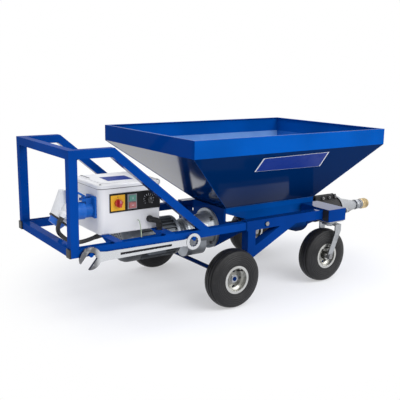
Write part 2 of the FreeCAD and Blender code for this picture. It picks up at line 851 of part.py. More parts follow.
def motor_end_bell():
    x0 = motor_bell_rear
    x1 = motor_joint_x
    bell = turned_x([(x0, armature_radius + 6.0), (x0, motor_radius), (x0 + 14.0, motor_radius),
                     (x1 - 22.0, motor_joint_radius - 14.0), (x1 - motor_joint_thickness, motor_joint_radius - 14.0),
                     (x1 - motor_joint_thickness, motor_joint_radius), (x1, motor_joint_radius),
                     (x1, motor_shaft_radius + running_clearance),
                     (x0 + 24.0, motor_shaft_radius + running_clearance), (x0 + 12.0, armature_radius + 6.0)],
                    0, motor_height)
    rib = plate_xz([(x0 + 10.0, motor_height + motor_radius), (x1 - 24.0, motor_height + motor_joint_radius - 6.0),
                    (x1 - 24.0, motor_height + 46.0), (x0 + 10.0, motor_height + 60.0)],
                   -motor_rib_thickness / 2, motor_rib_thickness / 2)
    ribs = around(rib, Vector(0, 0, motor_height), Vector(1, 0, 0), motor_rib_count // 2)
    return fused([bell] + ribs)


def motor_frame():
    """Ribbed stator housing with the terminal box on its near side."""
    x0 = motor_frame_rear
    x1 = motor_bell_rear
    core = rod_x(x0, x1, motor_core_radius, 0, motor_height)
    rib = box(x0, x1, -motor_rib_thickness / 2, motor_rib_thickness / 2, motor_height + motor_core_radius - 4.0,
              motor_height + motor_radius)
    ribs = around(rib, Vector(0, 0, motor_height), Vector(1, 0, 0), motor_rib_count)
    terminal = rounded_box(x0 + 8.0, x0 + 98.0, -motor_radius - terminal_depth, -motor_core_radius + 8.0,
                           motor_height - 40.0, motor_height + 36.0, 6.0)
    body = fused([core] + ribs + [terminal])
    return body.cut(rod_x(x0, x1, armature_radius + 6.0, 0, motor_height))


def fan_cowl():
    """Pressed cowl over the cooling fan, with a drilled grille in its rear face."""
    x0 = cowl_rear
    x1 = motor_frame_rear
    r = motor_radius
    t = cowl_sheet
    shell = turned_x([(x0, 0.0), (x0, r - 25.0), (x0 + 4.0, r - 17.0), (x0 + 14.0, r - 8.0), (x0 + 30.0, r - 1.5),
                      (x0 + 40.0, r), (x1, r), (x1, r - t), (x0 + 40.0, r - t), (x0 + 30.0, r - t - 1.7),
                      (x0 + 15.0, r - t - 8.0), (x0 + 6.0, r - t - 17.0), (x0 + t, r - t - 25.0), (x0 + t, 0.0)],
                     0, motor_height)
    for ring in (1, 2, 3, 4):
        distance = ring * 14.0
        count = 6 * ring
        hole = hex_x(x0 - 1, x0 + t + 1, grille_hole_radius, distance, motor_height)
        for copy in around(hole, Vector(0, 0, motor_height), Vector(1, 0, 0), count):
            shell = shell.cut(copy)
    band = rod_x(x1 - 12.0, x1, r - t, 0, motor_height).cut(rod_x(x1 - 12.0, x1, motor_core_radius - 6.0, 0, motor_height))
    for i in range(8):
        gap = box(x1 - 13.0, x1 + 1, -9.0, 9.0, motor_height + motor_core_radius - 8.0, motor_height + r - t)
        gap.rotate(Vector(0, 0, motor_height), Vector(1, 0, 0), 45.0 * i)
        band = band.cut(gap)
    return fused([shell, band])


def motor_shaft():
    x0 = cowl_rear + fan_setback - shaft_end_gap
    x1 = motor_joint_x + gear_shaft_reach - shaft_end_gap
    shaft = rod_x(x0, x1, motor_shaft_radius, 0, motor_height)
    armature = rod_x(motor_frame_rear + 20.0, motor_bell_rear - 10.0, armature_radius, 0, motor_height)
    return fused([shaft, armature])


def cooling_fan():
    x0 = cowl_rear + fan_setback
    x1 = motor_frame_rear - fan_setback
    hub = rod_x(x0, x1, motor_shaft_radius + 12.0, 0, motor_height)
    blade = box(x0, x1, -1.5, 1.5, motor_height + motor_shaft_radius + 8.0, motor_height + fan_radius)
    blades = around(blade, Vector(0, 0, motor_height), Vector(1, 0, 0), fan_blade_count)
    disc = rod_x(x1 - 3.0, x1, fan_radius, 0, motor_height)
    body = fused([hub, disc] + blades)
    return body.cut(rod_x(x0, x1, motor_shaft_radius, 0, motor_height))


# Feed screw, seal housing and pump

def feed_screw():
    """Drive shaft with a helical flight; the flight widens as the floor under it falls away."""
    x0 = gear_flange_rear - gear_shaft_reach + shaft_end_gap
    x1 = cone_start + 20.0
    shaft = rod_x(x0, x1, drive_shaft_radius, 0, drive_height)
    helix = Part.makeHelix(screw_pitch, screw_length, drive_shaft_radius)
    half = flight_thickness / 2
    inner = drive_shaft_radius - 3.0
    outer = screw_radius + 10.0
    section = Part.makePolygon([Vector(inner, 0, -half), Vector(outer, 0, -half), Vector(outer, 0, half),
                                Vector(inner, 0, half), Vector(inner, 0, -half)])
    flight = Part.Wire(helix).makePipeShell([section], True, True)
    flight.rotate(Vector(0, 0, 0), Vector(0, 1, 0), 90)
    flight.translate(Vector(screw_start, 0, drive_height))

    def reach(x):
        return (x - floor_meets_drive) * floor_slope * floor_cos - hopper_sheet - screw_clearance

    a = screw_start - flight_thickness
    b = screw_start + screw_length + flight_thickness
    over_floor = turned_x([(a, 0.0), (a, reach(a)), (b, reach(b)), (b, 0.0)], 0, drive_height)
    room = over_floor.common(rod_x(a, b, screw_radius, 0, drive_height))
    return shaft.fuse(flight.common(room))


def seal_housing():
    x0 = seal_housing_start
    x1 = seal_housing_end
    body = turned_x([(x0, drive_shaft_radius + running_clearance), (x0, seal_housing_radius - 5.0),
                     (x0 + 5.0, seal_housing_radius), (x1 - 8.0, seal_housing_radius),
                     (x1, seal_housing_radius - 8.0), (x1, drive_shaft_radius + running_clearance)],
                    0, drive_height)
    return body


def pump_inlet():
    """Flanged cone that leads the grout into the stator; its flange has ears for the tie rods."""
    x0 = front_plate_end
    r0 = inlet_mouth_radius
    body = turned_x([(x0, r0), (x0, trough_radius), (cone_start, trough_radius), (cone_start, r0 + inlet_wall),
                     (stator_start - 8.0, stator_radius + 2.0), (stator_start, stator_radius + 2.0),
                     (stator_start, stator_radius - 8.0), (stator_start - 8.0, stator_radius - 8.0),
                     (cone_start, r0)], 0, drive_height)
    ears = [rod_x(x0, cone_start, outlet_ear_radius, side * tie_rod_offset, drive_height) for side in (-1, 1)]
    bore = turned_x([(x0, 0.0), (x0, r0), (cone_start, r0), (stator_start - 8.0, stator_radius - 8.0),
                     (stator_start - 8.0, 0.0)], 0, drive_height)
    body = fused([body] + ears).cut(bore)
    for side in (-1, 1):
        body = body.cut(rod_x(x0, cone_start, tie_rod_radius, side * tie_rod_offset, drive_height))
    return body


def pump_stator():
    bore = rotor_radius + rotor_eccentricity + seat_gap
    tube = turned_x([(stator_start, bore), (stator_start, stator_radius), (stator_end, stator_radius),
                     (stator_end, bore)], 0, drive_height)
    return tube


def pump_rotor():
    """Single-start screw: a round section whose centre winds round the axis."""
    start = cone_start + 20.0
    turns = int((stator_end - 6.0 - start) / rotor_pitch)
    helix = Part.makeHelix(rotor_pitch, rotor_pitch * turns, rotor_eccentricity)
    ring = Part.Wire(Part.Circle(Vector(rotor_eccentricity, 0, 0), Vector(0, 0, 1), rotor_radius).toShape())
    screw = Part.Wire(helix).makePipeShell([ring], True, True)
    screw.rotate(Vector(0, 0, 0), Vector(0, 1, 0), 90)
    screw.translate(Vector(start, 0, drive_height))
    return screw


def stator_clamp():
    """Split shell round the stator, drawn together by bolts through two fins on top."""
    x0 = stator_start + clamp_inset
    x1 = stator_end - clamp_inset
    shell = turned_x([(x0, stator_radius), (x0, clamp_radius), (x1, clamp_radius), (x1, stator_radius)],
                     0, drive_height)
    half = clamp_gap / 2
    fin_top = drive_height + clamp_radius - 8.0 + clamp_fin_height
    fins = []
    for side in (-1, 1):
        y0 = min(side * half, side * (half + clamp_fin_thickness))
        fins.append(box(x0, x1, y0, y0 + clamp_fin_thickness, drive_height + stator_radius + 2.0, fin_top))
    body = fused([shell] + fins)
    body = body.cut(box(x0, x1, -half, half, drive_height, drive_height + 2 * clamp_radius))
    notch_x = stator_start + clamp_bolt_start + 1.7 * clamp_bolt_pitch
    body = body.cut(box(notch_x, notch_x + 8.0, -2 * clamp_radius, 2 * clamp_radius, drive_height + clamp_radius,
                        fin_top))
    for x in clamp_bolt_places():
        body = body.cut(rod_y(-2 * clamp_radius, 2 * clamp_radius, clamp_bolt_radius, x, clamp_bolt_height()))
    return body


def clamp_bolt_places():
    return [stator_start + clamp_bolt_start + clamp_bolt_pitch * i for i in range(3)]


def clamp_bolt_height():
    return drive_height + clamp_radius + 7.0


def clamp_bolts():
    reach = clamp_gap / 2 + clamp_fin_thickness
    bolts = []
    for x in clamp_bolt_places():
        shank = rod_y(-reach - 14.0, reach, clamp_bolt_radius, x, clamp_bolt_height())
        nut = hex_y(-reach - 9.0, -reach, clamp_nut_radius, x, clamp_bolt_height())
        head = hex_y(reach, reach + 7.0, clamp_nut_radius, x, clamp_bolt_height())
        bolts.append(fused([shank, nut, head]))
    return bolts


def ear_plate(x0, x1, radius):
    """Round plate with two ears for the tie rods."""
    disc = rod_x(x0, x1, radius, 0, drive_height)
    bar = box(x0, x1, -tie_rod_offset, tie_rod_offset, drive_height - outlet_ear_radius,
              drive_height + outlet_ear_radius)
    ears = [rod_x(x0, x1, outlet_ear_radius, side * tie_rod_offset, drive_height) for side in (-1, 1)]
    body = fused([disc, bar] + ears)
    for side in (-1, 1):
        body = body.cut(rod_x(x0, x1, tie_rod_radius, side * tie_rod_offset, drive_height))
    return body


def outlet_reducer():
    x0 = stator_end
    plate = ear_plate(x0, reducer_start, outlet_flange_radius)
    cone = turned_x([(reducer_start, 0.0), (reducer_start, reducer_start_radius), (reducer_start + 8.0, reducer_start_radius),
                     (reducer_end, reducer_end_radius), (coupling_start, reducer_end_radius), (coupling_start, 0.0)],
                    0, drive_height)
    ring_x = reducer_end + 5.0
    ring = rod_x(ring_x, ring_x + 6.0, reducer_end_radius + 4.0, 0, drive_height)
    w = outlet_wall
    bore = turned_x([(x0, 0.0), (x0, reducer_start_radius - w), (reducer_start + 8.0, reducer_start_radius - w),
                     (reducer_end, reducer_end_radius - w), (coupling_start, reducer_end_radius - w),
                     (coupling_start, 0.0)], 0, drive_height)
    return fused([plate, cone, ring]).cut(bore)


def tie_rods():
    rods = []
    x1 = reducer_start
    for side in (-1, 1):
        y = side * tie_rod_offset
        rod = rod_x(front_plate_end, x1 + tie_rod_stub, tie_rod_radius, y, drive_height)
        nut = hex_x(x1, x1 + tie_nut_depth, tie_nut_radius, y, drive_height)
        rods.append(fused([rod, nut]))
    return rods


def hose_coupling():
    x0 = coupling_start
    x1 = hose_nut_start - seat_gap
    r = coupling_radius
    body = turned_x([(x0, hose_bore_radius), (x0, r - 4.0), (x0 + 5.0, r), (x0 + 15.0, r), (x0 + 17.0, r - 3.0),
                     (x0 + 24.0, r - 3.0), (x0 + 26.0, r), (x1, r), (x1, hose_bore_radius)], 0, drive_height)
    spigot = turned_x([(x1, hose_bore_radius - 4.0), (x1, hose_bore_radius), (x1 + 24.0, hose_bore_radius),
                       (x1 + 24.0, hose_bore_radius - 4.0)], 0, drive_height)
    back = turned_x([(x0, hose_bore_radius - 4.0), (x0, hose_bore_radius), (x1, hose_bore_radius),
                     (x1, hose_bore_radius - 4.0)], 0, drive_height)
    return fused([body, spigot, back])


def hose_nut():
    x0 = hose_nut_start
    x1 = machine_front
    r = hose_nut_radius
    bore = hose_bore_radius + running_clearance
    body = turned_x([(x0, bore), (x0, r - 2.0), (x0 + 3.0, r), (x1 - 14.0, r), (x1 - 4.0, r - 4.0), (x1, r - 8.0),
                     (x1, bore)], 0, drive_height)
    groove = rod_x(x0 + 12.0, x1 - 18.0, 2.2, 0, drive_height + r + 0.6)
    for copy in around(groove, Vector(0, 0, drive_height), Vector(1, 0, 0), hose_nut_knurls):
        body = body.cut(copy)
    return body


# Control box and what is on it

def enclosure_body():
    outer = rounded_box(box_rear, box_front, box_near, box_far, box_bottom, box_top, box_corner)
    foot = [e for e in outer.Edges if abs(e.BoundBox.ZMax - box_bottom) < 1e-6]
    outer = outer.makeFillet(8.0, foot)
    w = box_wall
    inner = rounded_box(box_rear + w, box_front - w, box_near + w, box_far - w, box_bottom + w, box_top,
                        box_corner - w)
    body = outer.cut(inner)
    elbow = gland_elbow()
    return body.cut(rod_z(box_bottom, box_bottom + w, lead_diameter / 2, elbow.x, elbow.y))


def enclosure_lid():
    """Lid with an overhanging lip, a seam groove and a raised panel."""
    o = lid_overhang
    base = rounded_box(box_rear - o, box_front + o, box_near - o, box_far + o, box_top, box_top + lid_height,
                       box_corner + o)
    top = [e for e in base.Edges if abs(e.BoundBox.ZMin - box_top - lid_height) < 1e-6]
    base = base.makeFillet(7.0, top)
    w = box_wall
    inner = rounded_box(box_rear + w, box_front - w, box_near + w, box_far - w, box_top, box_top + lid_height - w,
                        box_corner - w)
    m = 26.0
    z1 = box_top + lid_height
    panel = rounded_box(box_rear + m, box_front - m, box_near + m, box_far - m, z1, z1 + 2.5, 12.0)
    return fused([base.cut(inner), panel])


def box_screws():
    """Black heads: one in each corner of the lid and one in each corner of the fascia."""
    screws = []
    z = box_top + lid_height
    for x in (box_rear + lid_screw_inset, box_front - lid_screw_inset):
        for y in (box_near + lid_screw_inset, box_far - lid_screw_inset):
            screws.append(rod_z(z, z + 2.0, lid_screw_radius, x, y).cut(rod_z(z + 0.8, z + 2.0, 2.2, x, y)))
    m = fascia_screw_inset
    for x in (fascia_front - fascia_length + m, fascia_front - m):
        for z in (fascia_low + m, fascia_low + fascia_height - m):
            screws.append(rod_y(fascia_near - 1.5, fascia_near, fascia_screw_radius, x, z))
    return screws


def control_fascia():
    """Black panel with the raised switch plate and the block that guides the two push buttons."""
    x1 = fascia_front
    x0 = x1 - fascia_length
    panel = box(x0, x1, fascia_near, box_near, fascia_low, fascia_low + fascia_height)
    plate_x = x0 + 4.0
    plate_z = fascia_mid_z - switch_plate_size / 2
    plate = box(plate_x, plate_x + switch_plate_size, fascia_near - 2.0, fascia_near, plate_z,
                plate_z + switch_plate_size)
    bx, bz = button_block_place()
    block = box(bx, bx + button_block_width, fascia_near - button_block_depth, fascia_near, bz,
                bz + button_block_height)
    body = fused([panel, plate, block])
    for z in button_places():
        body = body.cut(button_solid(z, seat_gap, box_near, fascia_near - button_block_depth))
    ring = rod_y(fascia_near - 0.8, fascia_near, 30.0, *speed_knob_place())
    return body.fuse(ring)


def button_block_place():
    return fascia_front - fascia_length + 82.0, fascia_mid_z - button_block_height / 2


def button_places():
    x, z = button_block_place()
    centre = z + button_block_height / 2
    return [centre + 15.0, centre - 15.0]


def button_solid(z, clearance, y_in, y_out):
    x, _ = button_block_place()
    cx = x + button_block_width / 2
    w = button_width / 2 + clearance
    h = button_height / 2 + clearance
    return box(cx - w, cx + w, min(y_in, y_out), max(y_in, y_out), z - h, z + h)


def push_button(z):
    y_front = fascia_near - button_block_depth - button_proud
    y_back = box_near - button_travel - seat_gap
    key = button_solid(z, 0.0, y_back, y_front)
    front = [e for e in key.Edges if abs(e.BoundBox.YMax - y_front) < 1e-6]
    return key.makeFillet(1.5, front)


def switch_place():
    return fascia_front - fascia_length + 4.0 + switch_plate_size / 2, fascia_mid_z


def main_switch():
    """Red rotary handle: a round base with a raised grip across it."""
    x, z = switch_place()
    y1 = fascia_near - 2.0 - seat_gap
    y0 = y1 - switch_knob_depth
    base = rod_y(y1 - 12.0, y1, switch_knob_radius, x, z)
    grip = box(x - 5.5, x + 5.5, y0, y1, z - switch_knob_radius + 1.0, z + switch_knob_radius - 1.0)
    edges = [e for e in grip.Edges if abs(e.BoundBox.YMax - y0) < 1e-6]
    return fused([base, grip.makeFillet(2.0, edges)])


def speed_knob_place():
    return fascia_front - 58.0, fascia_mid_z + 1.0


def speed_knob():
    """Fluted knob with a pointer ridge."""
    x, z = speed_knob_place()
    y1 = fascia_near - 0.8 - seat_gap
    y0 = y1 - speed_knob_depth
    body = turned_y([(y0, 0.0), (y0, speed_knob_radius - 2.0), (y0 + 2.0, speed_knob_radius - 1.0),
                     (y1, speed_knob_radius), (y1, 0.0)], x, z)
    flute = rod_y(y0 - 1, y1 - 4.0, 1.6, x, z + speed_knob_radius + 0.2)
    for copy in around(flute, Vector(x, 0, z), Vector(0, 1, 0), 12):
        body = body.cut(copy)
    pointer = box(x - 1.0, x + 1.0, y0 - 1.0, y0 + 1.0, z + 2.0, z + speed_knob_radius - 3.0)
    return fused([body, pointer])


def power_inlet():
    """Flanged power inlet with a round hood over its pins and ears for the cap's hinge."""
    y, z = inlet_y, inlet_z
    h = inlet_width / 2
    plate_x = inlet_plate_rear
    plate = box(plate_x, box_rear, y - h, y + h, z - inlet_drop, z + inlet_rise)
    long_edges = [e for e in plate.Edges if abs(e.BoundBox.XLength - inlet_plate_thickness) < 1e-6]
    plate = plate.makeFillet(6.0, long_edges)
    x0 = inlet_mouth_x
    hood = rod_x(x0, plate_x, inlet_radius, y, z).cut(rod_x(x0, plate_x - 6.0, inlet_radius - 4.0, y, z))
    flat = box(x0, plate_x, y - inlet_radius, y + inlet_radius, z - inlet_radius, z - inlet_drop)
    pins = []
    for angle in (90, 210, 330):
        py = y + 14.0 * math.cos(math.radians(angle))
        pz = z + 14.0 * math.sin(math.radians(angle))
        pins.append(rod_x(x0 + 10.0, plate_x - 5.0, 3.0, py, pz))
    cx, cz = cap_hinge()
    ear = [(plate_x, inlet_ear_low), (cx + 10.0, inlet_ear_low), (cx + 10.0, cz - 5.5), (cx - 6.0, cz - 5.5),
           (cx - 6.0, cz + 6.0), (plate_x, cz + 8.0)]
    ears = [plate_xz(ear, y0, y0 + 5.0) for y0 in (y - 16.5, y + 11.5)]
    body = fused([plate, hood] + ears + pins).cut(flat)
    return body.cut(rod_y(y - 30.0, y + 30.0, cap_pin_radius, cx, cz))


def cap_hinge():
    return box_rear - cap_hinge_reach, inlet_z + cap_hinge_rise


def inlet_cap():
    """Hinged cap with its hinge pin, standing open above the connector."""
    y = inlet_y
    cx, cz = cap_hinge()
    pin = rod_y(y - 16.5, y + 16.5, cap_pin_radius - running_clearance, cx, cz)
    knuckle = rod_y(y - 11.0, y + 11.0, 5.0, cx, cz)
    drop = cap_hinge_rise
    face = inlet_mouth_x - seat_gap
    arm = box(face - cap_thickness, cx - 2.0, y - 11.0, y + 11.0, cz - 4.0, cz + 4.0)
    strap = box(face - cap_thickness, face, y - 11.0, y + 11.0, cz - drop, cz + 4.0)
    disc = rod_x(face - cap_thickness, face, cap_radius, y, inlet_z)
    dish = rod_x(face - cap_thickness + 2.5, face, cap_radius - 3.0, y, inlet_z)
    cap = fused([disc, arm, strap]).cut(dish)
    cap = fused([cap, knuckle, pin])
    cap.rotate(Vector(cx, y, cz), Vector(0, 1, 0), cap_open_angle)
    return cap


# Angled connector on the inlet, and the lead from it back to the box

def lead_route():
    points = [(-701.5, -120.0, 453.5), (-720.0, -119.0, 424.0), (-714.0, -100.0, 389.0), (-688.0, -86.0, 361.0),
              (-658.0, -80.0, 338.0), (-622.0, -83.0, 326.0), (-586.0, -90.0, 331.0), (-553.0, -101.0, 343.0),
              (-527.0, -110.0, 353.0)]
    return [Vector(*p) for p in points]


def power_connector():
    """Sleeve over the inlet's hood, with a tapered hood across its end and a nut under that."""
    x1 = inlet_mouth_x + connector_grip
    x0 = x1 - connector_sleeve_length
    r = connector_radius
    sleeve = turned_x([(x1, 0.0), (x1, r), (x0, r), (x0 - 14.0, r - 3.0), (x0 - 24.0, r - 11.0),
                       (x0 - 30.0, r - 25.0), (x0 - 30.0, 0.0)], inlet_y, inlet_z)
    socket = rod_x(inlet_mouth_x, x1, inlet_radius, inlet_y, inlet_z)
    y = inlet_y + hood_offset
    mouth = Vector(hood_mouth_x, y, hood_mouth_z)
    down = Vector(-0.674, 0, -0.744)
    top = Vector(hood_mouth_x + 19.0, y, hood_mouth_z + 122.0)
    low_ring = Part.Wire(Part.Circle(mouth, down, hood_mouth_radius).toShape())
    high_ring = Part.Wire(Part.Circle(top, Vector(-0.15, 0, -0.99), hood_top_radius).toShape())
    hood = Part.makeLoft([high_ring, low_ring], True, True)
    band = Part.makeCylinder(hood_mouth_radius + 1.0, 7.0, mouth - down, down)
    nut = Part.makeCone(hood_mouth_radius - 5.0, hood_mouth_radius - 13.0, 24.0, mouth + down * 5.0, down)
    start, second = lead_route()[:2]
    along = (second - start).normalize()
    elbow = start - along * 16.0
    boss = lead_diameter / 2 + 3.0
    ball = boss + 1.0
    stub = Part.makeCylinder(boss, y - elbow.y - 12.0, elbow, Vector(0, 1, 0))
    barrel = Part.makeCylinder(boss, 16.0, elbow, along)
    body = fused([sleeve.cut(socket), hood, band, nut, stub, Part.makeSphere(ball, elbow), barrel])
    return body


def lead_gland():
    """Screwed gland under the box; its barrel leans so that the lead enters it squarely."""
    before, end = lead_route()[-2:]
    along = (end - before).normalize()
    elbow = gland_elbow()
    barrel = Part.makeCylinder(gland_radius, gland_length, end, along)
    nut = plate_xy([(elbow.x + a, elbow.y + b) for a, b in hexagon(gland_radius + 4.0)], box_bottom - 6.0, box_bottom)
    neck = rod_z(elbow.z, box_bottom, gland_radius - 1.0, elbow.x, elbow.y)
    stem = rod_z(box_bottom, box_bottom + box_wall, lead_diameter / 2, elbow.x, elbow.y)
    body = fused([barrel, Part.makeSphere(gland_radius, elbow), neck, nut])
    body = body.cut(rod_z(box_bottom, box_bottom + 2 * gland_radius, 2 * gland_radius, elbow.x, elbow.y))
    return body.fuse(stem)


def gland_elbow():
    before, end = lead_route()[-2:]
    return end + (end - before).normalize() * gland_length


def conduit_route():
    x = box_front - 60.0
    terminal_y = -motor_radius - terminal_depth
    points = [(x, box_near, 412.0), (x, box_near - 22.0, 412.0), (x + 24.0, box_near - 33.0, 407.0),
              (x + 31.0, box_near - 33.0, 388.0), (x + 33.0, box_near - 31.0, 350.0), (x + 35.0, box_near - 20.0, 318.0),
              (x + 37.0, box_near + 5.0, 296.0), (x + 37.0, terminal_y, 296.0)]
    return [Vector(*p) for p in points]


def earth_route():
    x = box_front - 116.0
    points = [(x, box_near, 413.0), (x, box_near - 16.0, 413.0), (x - 8.0, box_near - 35.0, 398.0),
              (x - 22.0, box_near - 65.0, 392.0), (x - 32.0, box_near - 88.0, 380.0), (x - 33.0, box_near - 91.0, rail_top)]
    return [Vector(*p) for p in points]


def box_brackets():
    """Four flat arms from the rails in under the box, each stiffened by a web against the rail."""
    arms = []
    low = rail_top - bracket_drop
    for x0, width, in_near, in_far in ((rear_bracket_start, rear_bracket_width, -box_near - bracket_lap, box_far - bracket_lap),
                                       (front_bracket_start, front_bracket_width, -box_near - bracket_lap / 2,
                                        box_far - bracket_lap)):
        for side, inner in ((-1, in_near), (1, in_far)):
            arm = box(x0, x0 + width, inner, rail_outer_y - 1.0, rail_top, box_bottom)
            web = plate_yz([(inner + 16.0, rail_top), (rail_inner_y, rail_top), (rail_inner_y, low)],
                           x0, x0 + bracket_wall)
            piece = fused([arm, web])
            arms.append(piece if side > 0 else mirrored(piece))
    path = conduit_route()
    hole = rod_z(rail_top - 1.0, box_bottom + 1.0, conduit_diameter / 2 + 2.0, path[4].x - 0.5, path[4].y - 0.5)
    return [arm.cut(hole) for arm in arms]


# Wrench and its pegs

def wrench():
    """Combination wrench: open jaw at the rear, ring with twelve points at the front."""
    y1 = -rail_outer_y - 2.0
    y0 = y1 - wrench_thickness
    jaw = rod_y(y0, y1, wrench_jaw_radius, wrench_jaw_centre, wrench_height)
    half = wrench_opening / 2
    slot = box(wrench_jaw_centre - 2 * wrench_jaw_radius, wrench_jaw_centre + half - 6.0, y0, y1,
               wrench_height - half, wrench_height + half)
    floor = rod_y(y0, y1, half, wrench_jaw_centre + 2.0, wrench_height)
    mouth = fused([slot, floor])
    mouth.rotate(Vector(wrench_jaw_centre, 0, wrench_height), Vector(0, 1, 0), wrench_jaw_turn)
    ring = rod_y(y0, y1, wrench_ring_radius, wrench_ring_centre, wrench_height)
    h = wrench_handle_width / 2
    handle = plate_xz([(wrench_jaw_centre + 24.0, wrench_height - h - 6.0), (wrench_jaw_centre + 70.0, wrench_height - h),
                       (wrench_ring_centre - 50.0, wrench_height - h + 4.0), (wrench_ring_centre - 20.0, wrench_height - h),
                       (wrench_ring_centre - 20.0, wrench_height + h), (wrench_ring_centre - 50.0, wrench_height + h - 4.0),
                       (wrench_jaw_centre + 70.0, wrench_height + h), (wrench_jaw_centre + 24.0, wrench_height + h + 6.0)],
                      y0 + 2.0, y1 - 2.0)
    body = fused([jaw, handle, ring]).cut(mouth)
    hexes = []
    for turn in (0, 30):
        points = hexagon(wrench_ring_bore)
        prism = plate_xz([(wrench_ring_centre + a, wrench_height + b) for a, b in points], y0, y1)
        prism.rotate(Vector(wrench_ring_centre, 0, wrench_height), Vector(0, 1, 0), turn)
        hexes.append(prism)
    inset_x0 = wrench_jaw_centre + 130.0
    inset_x1 = wrench_ring_centre - 110.0
    stripe = box(inset_x0, inset_x1, y0, y0 + 3.0, wrench_height - 5.0, wrench_height + 5.0)
    return body.cut(fused(hexes)).cut(stripe)


def wrench_pegs():
    """Studs on the rail: the ring hangs on one by two of its flanks, the jaw on the other by its throat."""
    y1 = -rail_outer_y
    y0 = y1 - peg_length
    contact = peg_radius + running_clearance
    slant = math.cos(math.radians(30))
    ring_z = wrench_height + (wrench_ring_bore * slant - contact) / slant
    throat = jaw_throat()
    jaw_z = throat.z + wrench_opening / 2 - contact
    return [rod_y(y0, y1, peg_radius, wrench_ring_centre, ring_z), rod_y(y0, y1, peg_radius, throat.x, jaw_z)]


def jaw_throat():
    centre = Vector(wrench_jaw_centre, 0, wrench_height)
    turn = FreeCAD.Rotation(Vector(0, 1, 0), wrench_jaw_turn)
    return centre + turn.multVec(Vector(2, 0, 0))


# Bolts that hold the frame together

def frame_bolts():
    bolts = []
    x = side_tube_start + frame_bolt_setback
    for side in (-1, 1):
        head = hex_y(frame_half_width, frame_half_width + 8.0, 11.0, x, rail_axis_height)
        shank = rod_y(side_tube_inner_y, frame_half_width, frame_bolt_radius, x, rail_axis_height)
        nut = hex_y(side_tube_inner_y - 8.0, side_tube_inner_y, 11.0, x, rail_axis_height)
        bolt = fused([head, shank, nut])
        bolts.append(bolt if side > 0 else mirrored(bolt))
    return bolts


def gearbox_bolts():
    bolts = []
    heads = flange_bolts(spot_face_radius - 2.0, gear_flange_rear - 8.0, gear_flange_rear)
    shanks = flange_bolts(gear_bolt_radius, gear_flange_rear, trough_start)
    for head, shank in zip(heads, shanks):
        bolts.append(fused([head, shank]))
    return bolts


def build():
    half_frame = fused([side_tube(), axle_leg()])
    save("front_frame", half_frame, mirrored(half_frame))
    save("drive_plate", drive_plate())
    side = cage_side()
    save("cage_side_left", side)
    save("cage_side_right", fused([mirrored(side)] + wrench_pegs()))
    save("cage_cross_tubes", cage_cross_tube(rail_bottom), cage_cross_tube(cage_height - rail_size))
    save("end_plugs", cage_plug(1), cage_plug(-1), platform_plug(1), platform_plug(-1))
    save("front_platform", front_platform())
    save("hopper", hopper())
    save("trough", trough())

    wheel_tyre = tyre()
    half = tyre_width / 2
    rear_rim = rim(half, hub_reach, axle_radius + running_clearance, 4)
    front_rim = rim(half, half, caster_bolt_radius + running_clearance, 6)
    save("rear_axle", rear_axle())
    save("axle_collars", *axle_collars())
    plate = caster_plate()
    fork = caster_fork()
    bolt = caster_bolt()
    for word, s in (("left", 1), ("right", -1)):
        save("rear_tyre_" + word, placed(wheel_tyre, 0, s * rear_wheel_offset, tyre_radius, s))
        save("rear_rim_" + word, placed(rear_rim, 0, s * rear_wheel_offset, tyre_radius, s))
        y = s * caster_offset
        save("caster_plate_" + word, placed(plate, caster_x, y, platform_bottom, s))
        save("caster_fork_" + word, placed(fork, caster_x, y, platform_bottom, s))
        save("caster_bolt_" + word, placed(bolt, caster_x, y, platform_bottom, s))
        save("caster_tyre_" + word, placed(wheel_tyre, caster_axle_x, y, tyre_radius, s))
        save("caster_rim_" + word, placed(front_rim, caster_axle_x, y, tyre_radius, s))

    save("gearbox_case", gearbox_case())
    save("motor_end_bell", motor_end_bell())
    save("motor_frame", motor_frame())
    save("fan_cowl", fan_cowl())
    save("motor_shaft", motor_shaft())
    save("cooling_fan", cooling_fan())
    save("feed_screw", feed_screw())
    save("seal_housing", seal_housing())
    save("pump_inlet", pump_inlet())
    save("pump_stator", pump_stator())
    save("pump_rotor", pump_rotor())
    save("stator_clamp", stator_clamp())
    save("clamp_bolts", *clamp_bolts())
    save("tie_rods", *tie_rods())
    save("outlet_reducer", outlet_reducer())
    save("hose_coupling", hose_coupling())
    save("hose_nut", hose_nut())

    save("box_brackets", *box_brackets())
    save("enclosure_body", enclosure_body())
    save("enclosure_lid", enclosure_lid())
    save("box_screws", *box_screws())
    save("control_fascia", control_fascia())
    save("main_switch", main_switch())
    green_z, red_z = button_places()
    save("start_button", push_button(green_z))
    save("stop_button", push_button(red_z))
    save("speed_knob", speed_knob())
    save("power_inlet", power_inlet())
    save("inlet_cap", inlet_cap())
    save("power_connector", power_connector())
    save("lead_gland", lead_gland())
    save("power_lead", cord("power_lead", lead_route(), lead_diameter))
    save("motor_conduit", cord("motor_conduit", conduit_route(), conduit_diameter))
    save("earth_wire", cord("earth_wire", earth_route(), earth_wire_diameter))
    save("wrench", wrench())
    save("chassis_bolts", *(frame_bolts() + gearbox_bolts()))


build()
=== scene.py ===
# %% [markdown]
# # A grout pump on four wheels
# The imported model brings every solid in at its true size. This lesson gives each of them the finish of the
# real machine, adds what is too small or too soft for the solids, and puts it in a pale studio.

# %% Load the machine
import bpy
import bmesh
import math
from mathutils import Matrix, Vector


